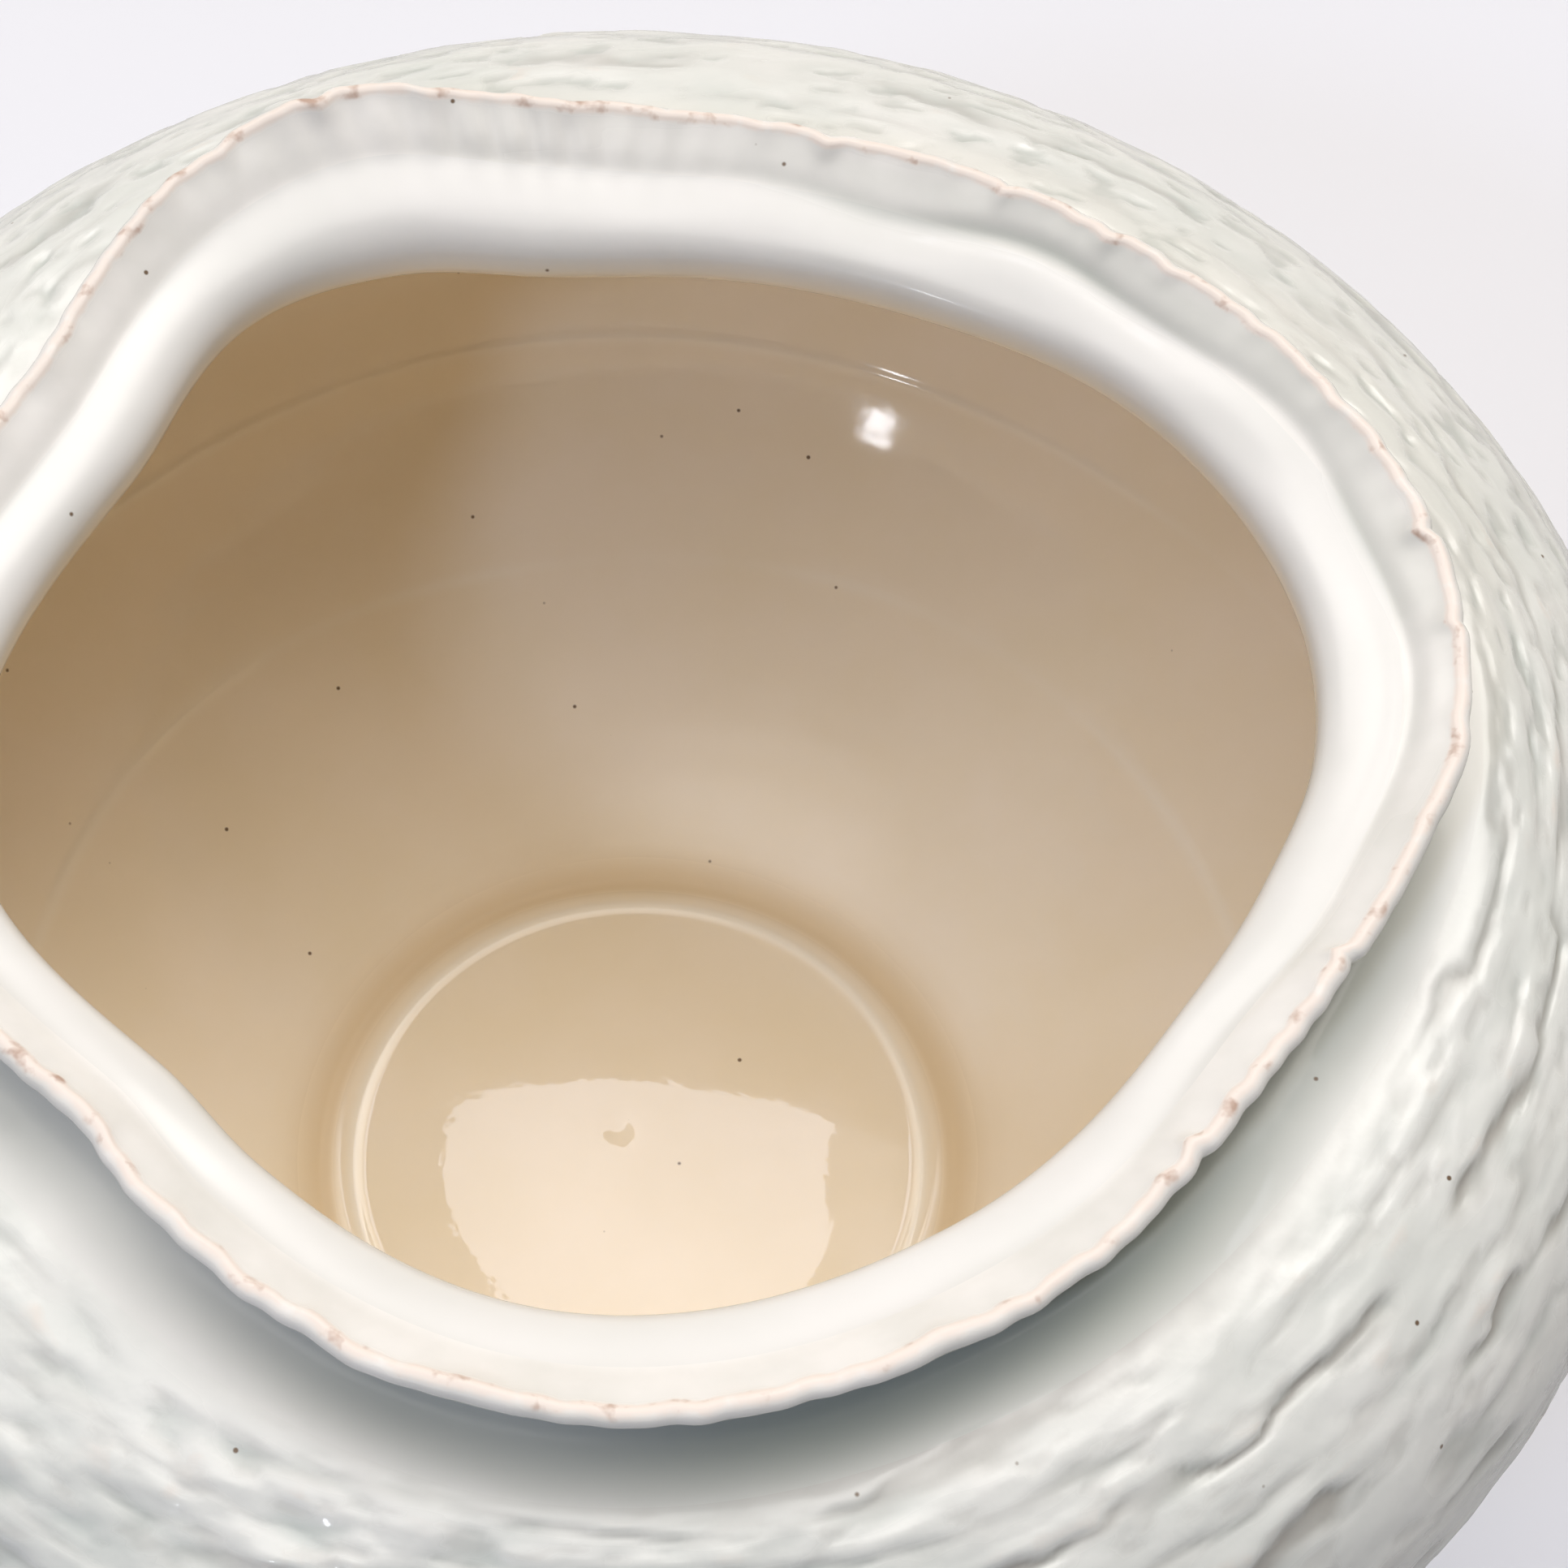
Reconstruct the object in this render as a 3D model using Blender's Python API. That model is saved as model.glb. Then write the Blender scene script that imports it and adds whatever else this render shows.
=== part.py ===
# Pedestal vase in hand-built stoneware: a wide round bowl with a pinched, torn and flared mouth,
# on a hollow turned pedestal.
# Metres, +Z up. The origin is the centre of the foot ring's flat underside.

import math

import bmesh
import bpy
import numpy as np
from mathutils import Vector
from mathutils.geometry import interpolate_bezier

# Pedestal
PEDESTAL_HEIGHT = 0.081
PEDESTAL_WALL = 0.008
FOOT_RADIUS = 0.067
FOOT_WIDTH = 0.010
FOOT_BAND = 0.008
FOOT_BEVEL = 0.0012
WAIST_RADIUS = 0.042
WAIST_HEIGHT = 0.050
PEDESTAL_TOP_RADIUS = 0.049
SEAT_DEPTH = 0.002

# Soft coil in the corner under the bowl
COIL_HEIGHT = 0.014
COIL_WIDTH = 0.011
COIL_EDGE = 0.0010

# Bowl
BELLY_RADIUS = 0.140
BOWL_DEPTH = 0.087
WALL = 0.008
WALL_FOOT = 0.0115
FLOOR_THICKNESS = 0.012
UPPER_RISE = 0.0503
UPPER_POWER = 2.6
LOWER_POWER = 1.65

# Neck and lip
NECK_WALL = 0.0095
NECK_COVE = 0.0075
NECK_RISE = 0.0020
THROAT_DROP = 0.0027
THROAT_UNDERCUT = 0.012
LIP_RISE = 0.012
LIP_THICKNESS = 0.0018
LIP_ROUNDING = 0.0006

# The mouth seen from above: angle in degrees, radius of the torn edge, radius of the throat,
# and how far the edge is lifted. One row for each lobe, hollow and turn that the fingers left.
MOUTH = (
    (0, 0.1039, 0.0860, 0.0000),
    (15, 0.1046, 0.0867, 0.0005),
    (40, 0.0984, 0.0820, 0.0005),
    (65, 0.0924, 0.0745, 0.0005),
    (90, 0.0907, 0.0716, 0.0010),
    (105, 0.0936, 0.0725, 0.0020),
    (120, 0.1014, 0.0790, 0.0035),
    (135, 0.0997, 0.0821, 0.0015),
    (157, 0.0922, 0.0765, 0.0000),
    (197, 0.1015, 0.0858, 0.0005),
    (227, 0.0922, 0.0785, 0.0000),
    (240, 0.0957, 0.0804, 0.0000),
    (268, 0.1022, 0.0856, 0.0005),
    (300, 0.0989, 0.0826, 0.0000),
    (328, 0.0940, 0.0799, 0.0000),
    (345, 0.0981, 0.0819, 0.0000),
)

# Seams, as lengths along the outer face. The rim strip has its width on both faces.
SLAB_UPTURN = 0.0045
BELLY_BELOW = 0.052
BELLY_ABOVE = 0.027
COLLAR_APRON = 0.0065
RIM_STRIP_WIDTH = 0.0090
SLIP_GAP = 0.0003

# Shares that shape the curves between those sizes
KEY_SHARE = 0.30
PINCH_SHARE = 0.65
HANDLE = 0.50
FUNNEL_FULLNESS = 0.40
FOOT_SWEEP = 0.60
FOOT_LEAN = 0.30
CROWN_FULLNESS = 0.30
COIL_HOLLOW = 0.35

# Facets, and how many points each profile has on its outer and inner face
SEGMENTS = 60
FINE_STEPS = 200
MERGE = 1e-6
SHARP_ANGLE = math.radians(40)
PEDESTAL_POINTS = 8
BESIDE_COIL_POINTS = 4
COIL_FACE_POINTS = 5
SLAB_POINTS = 2
LOWER_POINTS = (7, 7)
BELLY_POINTS = (8, 7)
SHOULDER_POINTS = (6, 5)
COLLAR_POINTS = (8, 9)
RIM_POINTS = (5, 5)

# Colour and roughness of each surface
WHITE_GLAZE = ((0.80, 0.79, 0.76), 0.35)
SMOOTH_GLAZE = ((0.80, 0.79, 0.76), 0.30)
CREAM_GLAZE = ((0.76, 0.68, 0.55), 0.25)
FLOOR_GLAZE = ((0.76, 0.68, 0.55), 0.15)
PINK_CLAY = ((0.72, 0.60, 0.52), 0.50)
PALE_CLAY = ((0.66, 0.58, 0.49), 0.70)

# Worked out from the sizes above
FLOOR_HEIGHT = PEDESTAL_HEIGHT + FLOOR_THICKNESS
BELLY_HEIGHT = FLOOR_HEIGHT + BOWL_DEPTH
SLAB_RADIUS = PEDESTAL_TOP_RADIUS + COIL_WIDTH
FLOOR_RADIUS = SLAB_RADIUS - WALL_FOOT
COIL_FOOT = PEDESTAL_HEIGHT - COIL_HEIGHT
EDGE_MEAN = sum(row[1] for row in MOUTH) / len(MOUTH)
THROAT_MEAN = sum(row[2] for row in MOUTH) / len(MOUTH)
NECK_RADIUS = THROAT_MEAN + NECK_WALL
SHOULDER_RADIUS = NECK_RADIUS + NECK_COVE
PINCH_RADIUS = SHOULDER_RADIUS + PINCH_SHARE * (BELLY_RADIUS - SHOULDER_RADIUS)


# Curves, as lists of (radius, height)

def bezier(start, start_handle, end_handle, end):
    corners = [Vector(point) for point in (start, start_handle, end_handle, end)]
    return [(point.x, point.y) for point in interpolate_bezier(*corners, FINE_STEPS)]


def full_rise(radius, power, end_radius, end_rise):
    # How far a superellipse rises at its axis, when it passes through this end
    share = (1 - (end_radius / radius) ** power) ** (1 / power)
    return end_rise / share


def dome(radius, rise, power, end_radius):
    # A quarter of a superellipse from the belly inwards; a negative rise goes down
    end = math.acos((end_radius / radius) ** (power / 2))
    points = []
    for step in range(FINE_STEPS + 1):
        angle = end * step / FINE_STEPS
        across = radius * math.cos(angle) ** (2 / power)
        up = rise * math.sin(angle) ** (2 / power)
        points.append((across, BELLY_HEIGHT + up))
    return points


def lengths(points):
    # How far along the curve each of its points lies
    steps = [math.dist(a, b) for a, b in zip(points, points[1:])]
    return np.concatenate([[0], np.cumsum(steps)])


def at_length(points, distance):
    reached = lengths(points)
    return tuple(float(np.interp(distance, reached, axis)) for axis in zip(*points))


def evenly(points, count):
    # This many points along the curve, both ends among them, at even steps of its length
    return [at_length(points, distance) for distance in np.linspace(0, lengths(points)[-1], count)]


def between(points, low, high):
    # The part of a rising curve between two heights
    radii, heights = zip(*points)
    inner = [point for point in points if low < point[1] < high]
    ends = [(float(np.interp(height, heights, radii)), height) for height in (low, high)]
    return ends[:1] + inner + ends[1:]


def ahead(points, distance):
    # A point past the curve's end, in the direction that it ends in
    step = math.dist(points[-2], points[-1])
    return tuple(b + distance * (b - a) / step for a, b in zip(points[-2], points[-1]))


# The wall's two faces, each in four stretches: slab to belly, belly to the foot of the neck,
# on to the neck's narrowest ring, and out to the torn edge

LOWER, UPPER, NECK, LIP = range(4)


def outer_face():
    depth = full_rise(BELLY_RADIUS, LOWER_POWER, SLAB_RADIUS, BELLY_HEIGHT - PEDESTAL_HEIGHT)
    lower = dome(BELLY_RADIUS, -depth, LOWER_POWER, SLAB_RADIUS)[::-1]
    upper = dome(BELLY_RADIUS, UPPER_RISE, UPPER_POWER, SHOULDER_RADIUS)
    neck = (NECK_RADIUS, upper[-1][1] + NECK_RISE)
    edge = (EDGE_MEAN, throat_height(upper) + LIP_RISE - LIP_THICKNESS)
    rise = HANDLE * NECK_RISE
    flare = HANDLE * (edge[0] - neck[0])
    cove = bezier(upper[-1], ahead(upper, HANDLE * NECK_COVE), (neck[0], neck[1] - rise), neck)
    lip = bezier(neck, (neck[0], neck[1] + rise), (edge[0] - flare, edge[1] - HANDLE * flare), edge)
    return lower, upper, cove, lip


def throat_height(shoulder):
    return shoulder[-1][1] + NECK_RISE - THROAT_DROP


def inner_face(throat_top):
    radius = BELLY_RADIUS - WALL
    depth = full_rise(radius, LOWER_POWER, FLOOR_RADIUS, BOWL_DEPTH)
    lower = dome(radius, -depth, LOWER_POWER, FLOOR_RADIUS)[::-1]
    upper = dome(radius, UPPER_RISE - WALL, UPPER_POWER, THROAT_MEAN + THROAT_UNDERCUT)
    throat = (THROAT_MEAN, throat_top)
    edge = (EDGE_MEAN, throat_top + LIP_RISE)
    below = (THROAT_MEAN, throat_top - HANDLE * (throat_top - upper[-1][1]))
    above = (THROAT_MEAN, throat_top + FUNNEL_FULLNESS * LIP_RISE)
    arriving = (EDGE_MEAN - HANDLE * (EDGE_MEAN - THROAT_MEAN), edge[1] - HANDLE * LIP_RISE)
    under = bezier(upper[-1], ahead(upper, HANDLE * THROAT_UNDERCUT), below, throat)
    funnel = bezier(throat, above, arriving, edge)
    return lower, upper, under, funnel


OUTER = outer_face()
THROAT_TOP = throat_height(OUTER[UPPER])
INNER = inner_face(THROAT_TOP)


# A place on a face is a stretch's number plus a share of its length. A seam is a place on the
# outer face and the place behind it on the inner face.

def from_start(stretch, distance):
    place = stretch + distance / lengths(OUTER[stretch])[-1]
    return place, place


def from_end(stretch, distance):
    return from_start(stretch, lengths(OUTER[stretch])[-1] - distance)


TORN_EDGE = len(OUTER)
MOUTH_END = (TORN_EDGE, TORN_EDGE)
FLOOR_SEAM = from_start(LOWER, SLAB_UPTURN)
LOWER_SEAM = from_end(LOWER, BELLY_BELOW)
UPPER_SEAM = from_start(UPPER, BELLY_ABOVE)
NECK_SEAM = from_end(UPPER, COLLAR_APRON)
RIM_SEAM = tuple(TORN_EDGE - RIM_STRIP_WIDTH / lengths(face[LIP])[-1] for face in (OUTER, INNER))


def on_face(face, place):
    stretch = min(int(place), len(face) - 1)
    return at_length(face[stretch], (place - stretch) * lengths(face[stretch])[-1])


def past(face, place, distance):
    # The place that lies this distance further up the wall
    stretch = min(int(place), len(face) - 1)
    return place + distance / lengths(face[stretch])[-1]


def along(face, start, end, count):
    # Even steps, with one between the ends moved onto each join of two stretches, so that
    # the belly and the neck keep their true radius
    places = np.linspace(start, end, count)
    steps = places[1:-1]
    for join in range(math.ceil(start), math.ceil(end)):
        if join > start:
            steps[np.abs(steps - join).argmin()] = join
    return [on_face(face, place) for place in places]


# Seams: the edge below carries a ridge, and the edge above has the groove that sits on it

def key_tip(outside, inside):
    across = (inside[0] - outside[0], inside[1] - outside[1])
    middle = ((outside[0] + inside[0]) / 2, (outside[1] + inside[1]) / 2)
    return (middle[0] + KEY_SHARE * across[1], middle[1] - KEY_SHARE * across[0])


def wall(start, end, points):
    # Both faces from just above one seam to the next, and the groove that sits on the first.
    # The ridge's sides slope, so the step along the wall is longer than the gap across them.
    step = SLIP_GAP * math.hypot(1, 2 * KEY_SHARE)
    outside = along(OUTER, past(OUTER, start[0], step), end[0], points[0])
    inside = along(INNER, past(INNER, start[1], step), end[1], points[1])
    return outside, inside, key_tip(outside[0], inside[0])


def band(start, end, points):
    # A closed section of the wall between two seams
    outside, inside, groove = wall(start, end, points)
    ridge = key_tip(outside[-1], inside[-1])
    return outside + [ridge] + inside[::-1] + [groove]


# The pinched mouth

def mouth_at(angle):
    # Edge radius, throat radius and lift at an angle, on one smooth closed curve through the rows
    turn = math.degrees(angle) % 360
    count = len(MOUTH)
    first = max(number for number, row in enumerate(MOUTH) if row[0] <= turn)
    rows = [MOUTH[(first + step) % count] for step in (-1, 0, 1, 2)]
    angles = [row[0] + 360 * ((first + step) // count) for row, step in zip(rows, (-1, 0, 1, 2))]
    span = angles[2] - angles[1]
    share = (turn - angles[1]) / span
    arrival = share ** 2 * (3 - 2 * share)
    values = []
    for before, start, end, after in list(zip(*rows))[1:]:
        leaving = span * (end - before) / (angles[2] - angles[0])
        arriving = span * (after - start) / (angles[3] - angles[1])
        bend = share * (1 - share) * ((1 - share) * leaving - share * arriving)
        values.append(start + arrival * (end - start) + bend)
    return values


def ease(value):
    value = min(max(value, 0), 1)
    return value * value * (3 - 2 * value)


def pinch(radius, height, angle):
    # Moves a point of the round form to where the fingers left it
    if height <= BELLY_HEIGHT:
        return radius, height
    edge, throat, lift = mouth_at(angle)
    amount = ease((PINCH_RADIUS - radius) / (PINCH_RADIUS - SHOULDER_RADIUS))
    flare = ease((height - THROAT_TOP) / LIP_RISE)
    push = (1 - flare) * (throat - THROAT_MEAN) + flare * (edge - EDGE_MEAN)
    return radius + amount * push, height + amount * flare * lift


# Making a piece

def fired(name, surface):
    colour, roughness = surface
    material = bpy.data.materials.new(name)
    material.use_nodes = True
    shader = material.node_tree.nodes["Principled BSDF"]
    shader.inputs["Base Color"].default_value = (*colour, 1)
    shader.inputs["Roughness"].default_value = roughness
    shader.inputs["Metallic"].default_value = 0
    material.diffuse_color = (*colour, 1)
    return material


def turned(name, section, seat, surface):
    # Spins a section of (radius, height) points, closed or ending on the axis, and pinches it.
    # The piece's own origin is on the axis at the height where it is seated.
    bm = bmesh.new()
    verts = [bm.verts.new((radius, 0, height)) for radius, height in section]
    edges = [bm.edges.new(pair) for pair in zip(verts, verts[1:])]
    if section[0][0] > MERGE:
        edges.append(bm.edges.new((verts[-1], verts[0])))
    profile = verts + edges
    axis = (0, 0, 1)
    turn = 2 * math.pi
    bmesh.ops.spin(bm, geom=profile, cent=(0, 0, 0), axis=axis, angle=turn, steps=SEGMENTS, use_merge=True)
    bmesh.ops.remove_doubles(bm, verts=bm.verts, dist=MERGE)
    for vert in bm.verts:
        angle = math.atan2(vert.co.y, vert.co.x)
        radius, height = pinch(math.hypot(vert.co.x, vert.co.y), vert.co.z, angle)
        vert.co = (radius * math.cos(angle), radius * math.sin(angle), height - seat)
    bmesh.ops.recalc_face_normals(bm, faces=bm.faces)
    mesh = bpy.data.meshes.new(name)
    bm.to_mesh(mesh)
    bm.free()
    mesh.shade_smooth()
    mesh.set_sharp_from_angle(angle=SHARP_ANGLE)
    mesh.materials.append(fired(name + "_surface", surface))
    piece = bpy.data.objects.new(name, mesh)
    piece.location.z = seat
    bpy.context.collection.objects.link(piece)
    return piece


# Pedestal, coil and slab

def pedestal_curve():
    # The outside from the top of the foot band, in to the waist and out to the slab
    band_top = (FOOT_RADIUS - FOOT_BEVEL, FOOT_BAND)
    waist = (WAIST_RADIUS, WAIST_HEIGHT)
    top = (PEDESTAL_TOP_RADIUS, PEDESTAL_HEIGHT)
    below = HANDLE * (WAIST_HEIGHT - FOOT_BAND)
    above = HANDLE * (PEDESTAL_HEIGHT - WAIST_HEIGHT)
    flare = band_top[0] - waist[0]
    leaving = (band_top[0] - FOOT_SWEEP * flare, FOOT_BAND + FOOT_LEAN * flare)
    arriving = (top[0] - HANDLE * (top[0] - waist[0]), top[1] - CROWN_FULLNESS * (top[1] - waist[1]))
    foot = bezier(band_top, leaving, (waist[0], waist[1] - below), waist)
    crown = bezier(waist, (waist[0], waist[1] + above), arriving, top)
    return foot + crown[1:]


PEDESTAL = pedestal_curve()
BESIDE_COIL = evenly(between(PEDESTAL, COIL_FOOT, PEDESTAL_HEIGHT), BESIDE_COIL_POINTS)


def pedestal_section():
    outside = evenly(between(PEDESTAL, FOOT_BAND, COIL_FOOT), PEDESTAL_POINTS) + BESIDE_COIL[1:]
    inside = [(radius - PEDESTAL_WALL, height) for radius, height in outside]
    tenon = PEDESTAL_HEIGHT + SEAT_DEPTH - SLIP_GAP
    top = [(outside[-1][0], tenon), (inside[-1][0], tenon)]
    band_outside = [(FOOT_RADIUS, FOOT_BEVEL), (FOOT_RADIUS, FOOT_BAND - FOOT_BEVEL)]
    band_inside = (FOOT_RADIUS - FOOT_WIDTH, FOOT_BEVEL)
    underside = [(band_inside[0] + FOOT_BEVEL, 0), (FOOT_RADIUS - FOOT_BEVEL, 0)]
    return band_outside + outside + top + inside[::-1] + [band_inside] + underside


def coil_section():
    # Pressed into the corner between pedestal and slab, its open face hollowed by a finger
    top = PEDESTAL_HEIGHT - SLIP_GAP
    seat = [(radius + SLIP_GAP, min(height, top)) for radius, height in BESIDE_COIL]
    low = (seat[0][0] + COIL_EDGE, COIL_FOOT)
    high = (SLAB_RADIUS - COIL_EDGE, top - COIL_EDGE)
    bend = tuple(a + COIL_HOLLOW * (b - a) for a, b in zip((low[0], high[1]), (high[0], low[1])))
    face = evenly(bezier(high, bend, bend, low), COIL_FACE_POINTS)
    return seat + [(high[0], top)] + face


def slab_section():
    # A disc with a groove below for the pedestal, and an edge turned up to take the wall
    outside = along(OUTER, LOWER, FLOOR_SEAM[0], SLAB_POINTS)
    inside = along(INNER, LOWER, FLOOR_SEAM[1], SLAB_POINTS)
    ridge = key_tip(outside[-1], inside[-1])
    groove_outer = PEDESTAL_TOP_RADIUS + SLIP_GAP
    groove_inner = PEDESTAL_TOP_RADIUS - PEDESTAL_WALL - SLIP_GAP
    groove_top = PEDESTAL_HEIGHT + SEAT_DEPTH
    groove = [
        (groove_inner, PEDESTAL_HEIGHT),
        (groove_inner, groove_top),
        (groove_outer, groove_top),
        (groove_outer, PEDESTAL_HEIGHT),
    ]
    return [(0, PEDESTAL_HEIGHT)] + groove + outside + [ridge] + inside[::-1] + [(0, FLOOR_HEIGHT)]


# Torn strip round the mouth

def rim_section():
    # From the seam to the torn edge, whose end is blunt and slightly rounded
    outside, inside, groove = wall(RIM_SEAM, MOUTH_END, RIM_POINTS)
    tip =(EDGE_MEAN + LIP_ROUNDING, (outside[-1][1] + inside[-1][1]) / 2)
    return outside + [tip] + inside[::-1] + [groove]


def build():
    for old in list(bpy.data.objects):
        bpy.data.objects.remove(old)
    rim_seat = on_face(OUTER, RIM_SEAM[0])[1]
    pieces = [
        turned("pedestal", pedestal_section(), 0, WHITE_GLAZE),
        turned("joint_coil", coil_section(), COIL_FOOT, PALE_CLAY),
        turned("floor_slab", slab_section(), PEDESTAL_HEIGHT, FLOOR_GLAZE),
        turned("rim_strip", rim_section(), rim_seat, PINK_CLAY),
    ]
    bands = (
        ("lower_wall", FLOOR_SEAM, LOWER_SEAM, LOWER_POINTS, CREAM_GLAZE),
        ("belly_band", LOWER_SEAM, UPPER_SEAM, BELLY_POINTS, WHITE_GLAZE),
        ("shoulder_band", UPPER_SEAM, NECK_SEAM, SHOULDER_POINTS, WHITE_GLAZE),
        ("neck_collar", NECK_SEAM, RIM_SEAM, COLLAR_POINTS, SMOOTH_GLAZE),
    )
    for name, start, end, points, surface in bands:
        pieces.append(turned(name, band(start, end, points), on_face(OUTER, start[0])[1], surface))
    vase = bpy.data.objects.new("vase", None)
    bpy.context.collection.objects.link(vase)
    for piece in pieces:
        piece.parent = vase


build()
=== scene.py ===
import math
import bpy
import numpy as np
from mathutils import Matrix, Vector
from mathutils.geometry import interpolate_bezier


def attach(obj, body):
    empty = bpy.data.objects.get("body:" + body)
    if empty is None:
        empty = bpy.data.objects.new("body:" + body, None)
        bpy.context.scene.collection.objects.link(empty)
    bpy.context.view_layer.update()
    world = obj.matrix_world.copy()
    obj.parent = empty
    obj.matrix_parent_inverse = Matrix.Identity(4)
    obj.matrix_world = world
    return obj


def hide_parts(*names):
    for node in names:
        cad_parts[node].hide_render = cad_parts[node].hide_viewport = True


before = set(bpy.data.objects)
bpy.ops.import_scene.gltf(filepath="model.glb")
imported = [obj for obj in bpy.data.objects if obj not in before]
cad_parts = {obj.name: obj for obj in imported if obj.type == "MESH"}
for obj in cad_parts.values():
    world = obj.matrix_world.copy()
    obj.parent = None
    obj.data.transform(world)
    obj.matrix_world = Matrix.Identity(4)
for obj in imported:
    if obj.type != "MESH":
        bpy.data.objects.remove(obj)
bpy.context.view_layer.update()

# a hand-built stoneware vase: bark-ridged outside, pinched and torn mouth, glossy cream inside
# the solids give the form, this script gives the clay its ridges, its torn edge and its glazes

mm = 0.001
print("frame loaded", sorted(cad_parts))


# the vase's form, in metres, the same curves that the solids were turned on

form = {
    "pedestalHeight": 0.081, "pedestalWall": 0.008, "footRadius": 0.067, "footWidth": 0.010,
    "footBand": 0.008, "footBevel": 0.0012, "waistRadius": 0.042, "waistHeight": 0.050,
    "pedestalTop": 0.049, "coilHeight": 0.014, "coilWidth": 0.011,
    "bellyRadius": 0.140, "bowlDepth": 0.087, "wall": 0.008, "wallFoot": 0.0115, "floor": 0.012,
    "upperRise": 0.0503, "upperPower": 2.6, "lowerPower": 1.65,
    "neckWall": 0.0095, "neckCove": 0.0075, "neckRise": 0.0020, "throatDrop": 0.0027,
    "throatUndercut": 0.012, "lipRise": 0.012, "lipThickness": 0.0018,
    "slabUpturn": 0.0045, "bellyBelow": 0.052, "bellyAbove": 0.027, "collarApron": 0.0065,
    "rimStrip": 0.0090, "pinchShare": 0.65, "handle": 0.50, "funnelFullness": 0.40,
    "footSweep": 0.60, "footLean": 0.30, "crownFullness": 0.30, "coilHollow": 0.35,
    "keyShare": 0.30,
}

# the mouth from above: angle in degrees, torn edge's radius, throat's radius, how far the edge is lifted
mouth = (
    (0, 0.1039, 0.0860, 0.0000), (15, 0.1046, 0.0867, 0.0005), (40, 0.0984, 0.0820, 0.0005),
    (65, 0.0924, 0.0745, 0.0005), (90, 0.0907, 0.0716, 0.0010), (105, 0.0936, 0.0725, 0.0020),
    (120, 0.1014, 0.0790, 0.0035), (135, 0.0997, 0.0821, 0.0015), (157, 0.0922, 0.0765, 0.0000),
    (197, 0.1015, 0.0858, 0.0005), (227, 0.0922, 0.0785, 0.0000), (240, 0.0957, 0.0804, 0.0000),
    (268, 0.1022, 0.0856, 0.0005), (300, 0.0989, 0.0826, 0.0000), (328, 0.0940, 0.0799, 0.0000),
    (345, 0.0981, 0.0819, 0.0000),
)

floorHeight = form["pedestalHeight"] + form["floor"]
bellyHeight = floorHeight + form["bowlDepth"]
slabRadius = form["pedestalTop"] + form["coilWidth"]
floorRadius = slabRadius - form["wallFoot"]
coilFoot = form["pedestalHeight"] - form["coilHeight"]
edgeMean = sum(row[1] for row in mouth) / len(mouth)
throatMean = sum(row[2] for row in mouth) / len(mouth)
neckRadius = throatMean + form["neckWall"]
shoulderRadius = neckRadius + form["neckCove"]
pinchRadius = shoulderRadius + form["pinchShare"] * (form["bellyRadius"] - shoulderRadius)


def bezier(*corners, steps=300):
    return np.array([(p.x, p.y) for p in interpolate_bezier(*[Vector(c) for c in corners], steps)])


def dome(radius, rise, power, endRadius, steps=300):  # from the belly inwards, down where rise is negative
    angle = np.linspace(0, math.acos((endRadius / radius) ** (power / 2)), steps)
    across = radius * np.cos(angle) ** (2 / power)
    return np.stack([across, bellyHeight + rise * np.sin(angle) ** (2 / power)], 1)


def fullRise(radius, power, endRadius, endRise):
    return endRise / (1 - (endRadius / radius) ** power) ** (1 / power)


def ahead(points, distance):
    step = points[-1] - points[-2]
    return points[-1] + step * distance / np.hypot(*step)


def lengths(points):
    return np.concatenate([[0], np.cumsum(np.hypot(*np.diff(points, axis=0).T))])


def piece(points, start, end, step, extra=()):  # even steps along a curve, from one length to another
    reached = lengths(points)
    count = max(2, round(abs(end - start) / step) + 1)
    extra = [place for place in extra if min(start, end) < place < max(start, end)]
    places = np.unique(np.concatenate([np.linspace(start, end, count), extra]))[::1 if end > start else -1]
    return np.stack([np.interp(places, reached, points[:, axis]) for axis in (0, 1)], -1)


def outerFace():  # slab to belly, to the foot of the neck, to its narrowest ring, to the torn edge
    f, handle = form, form["handle"]
    depth = fullRise(f["bellyRadius"], f["lowerPower"], slabRadius, bellyHeight - f["pedestalHeight"])
    lower = dome(f["bellyRadius"], -depth, f["lowerPower"], slabRadius)[::-1]
    upper = dome(f["bellyRadius"], f["upperRise"], f["upperPower"], shoulderRadius)
    neck = (neckRadius, upper[-1][1] + f["neckRise"])
    edge = (edgeMean, neck[1] - f["throatDrop"] + f["lipRise"] - f["lipThickness"])
    rise, flare = handle * f["neckRise"], handle * (edge[0] - neck[0])
    cove = bezier(upper[-1], ahead(upper, handle * f["neckCove"]), (neck[0], neck[1] - rise), neck)
    lip = bezier(neck, (neck[0], neck[1] + rise), (edge[0] - flare, edge[1] - handle * flare), edge)
    return [lower, upper, cove, lip]


def innerFace():  # the same four stretches on the wall's other side
    f, handle = form, form["handle"]
    radius = f["bellyRadius"] - f["wall"]
    depth = fullRise(radius, f["lowerPower"], floorRadius, f["bowlDepth"])
    lower = dome(radius, -depth, f["lowerPower"], floorRadius)[::-1]
    upper = dome(radius, f["upperRise"] - f["wall"], f["upperPower"], throatMean + f["throatUndercut"])
    throat, edge = (throatMean, throatTop), (edgeMean, throatTop + f["lipRise"])
    below = (throatMean, throatTop - handle * (throatTop - upper[-1][1]))
    above = (throatMean, throatTop + f["funnelFullness"] * f["lipRise"])
    arriving = (edgeMean - handle * (edgeMean - throatMean), edge[1] - handle * f["lipRise"])
    return [lower, upper, bezier(upper[-1], ahead(upper, handle * f["throatUndercut"]), below, throat),
            bezier(throat, above, arriving, edge)]


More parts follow.
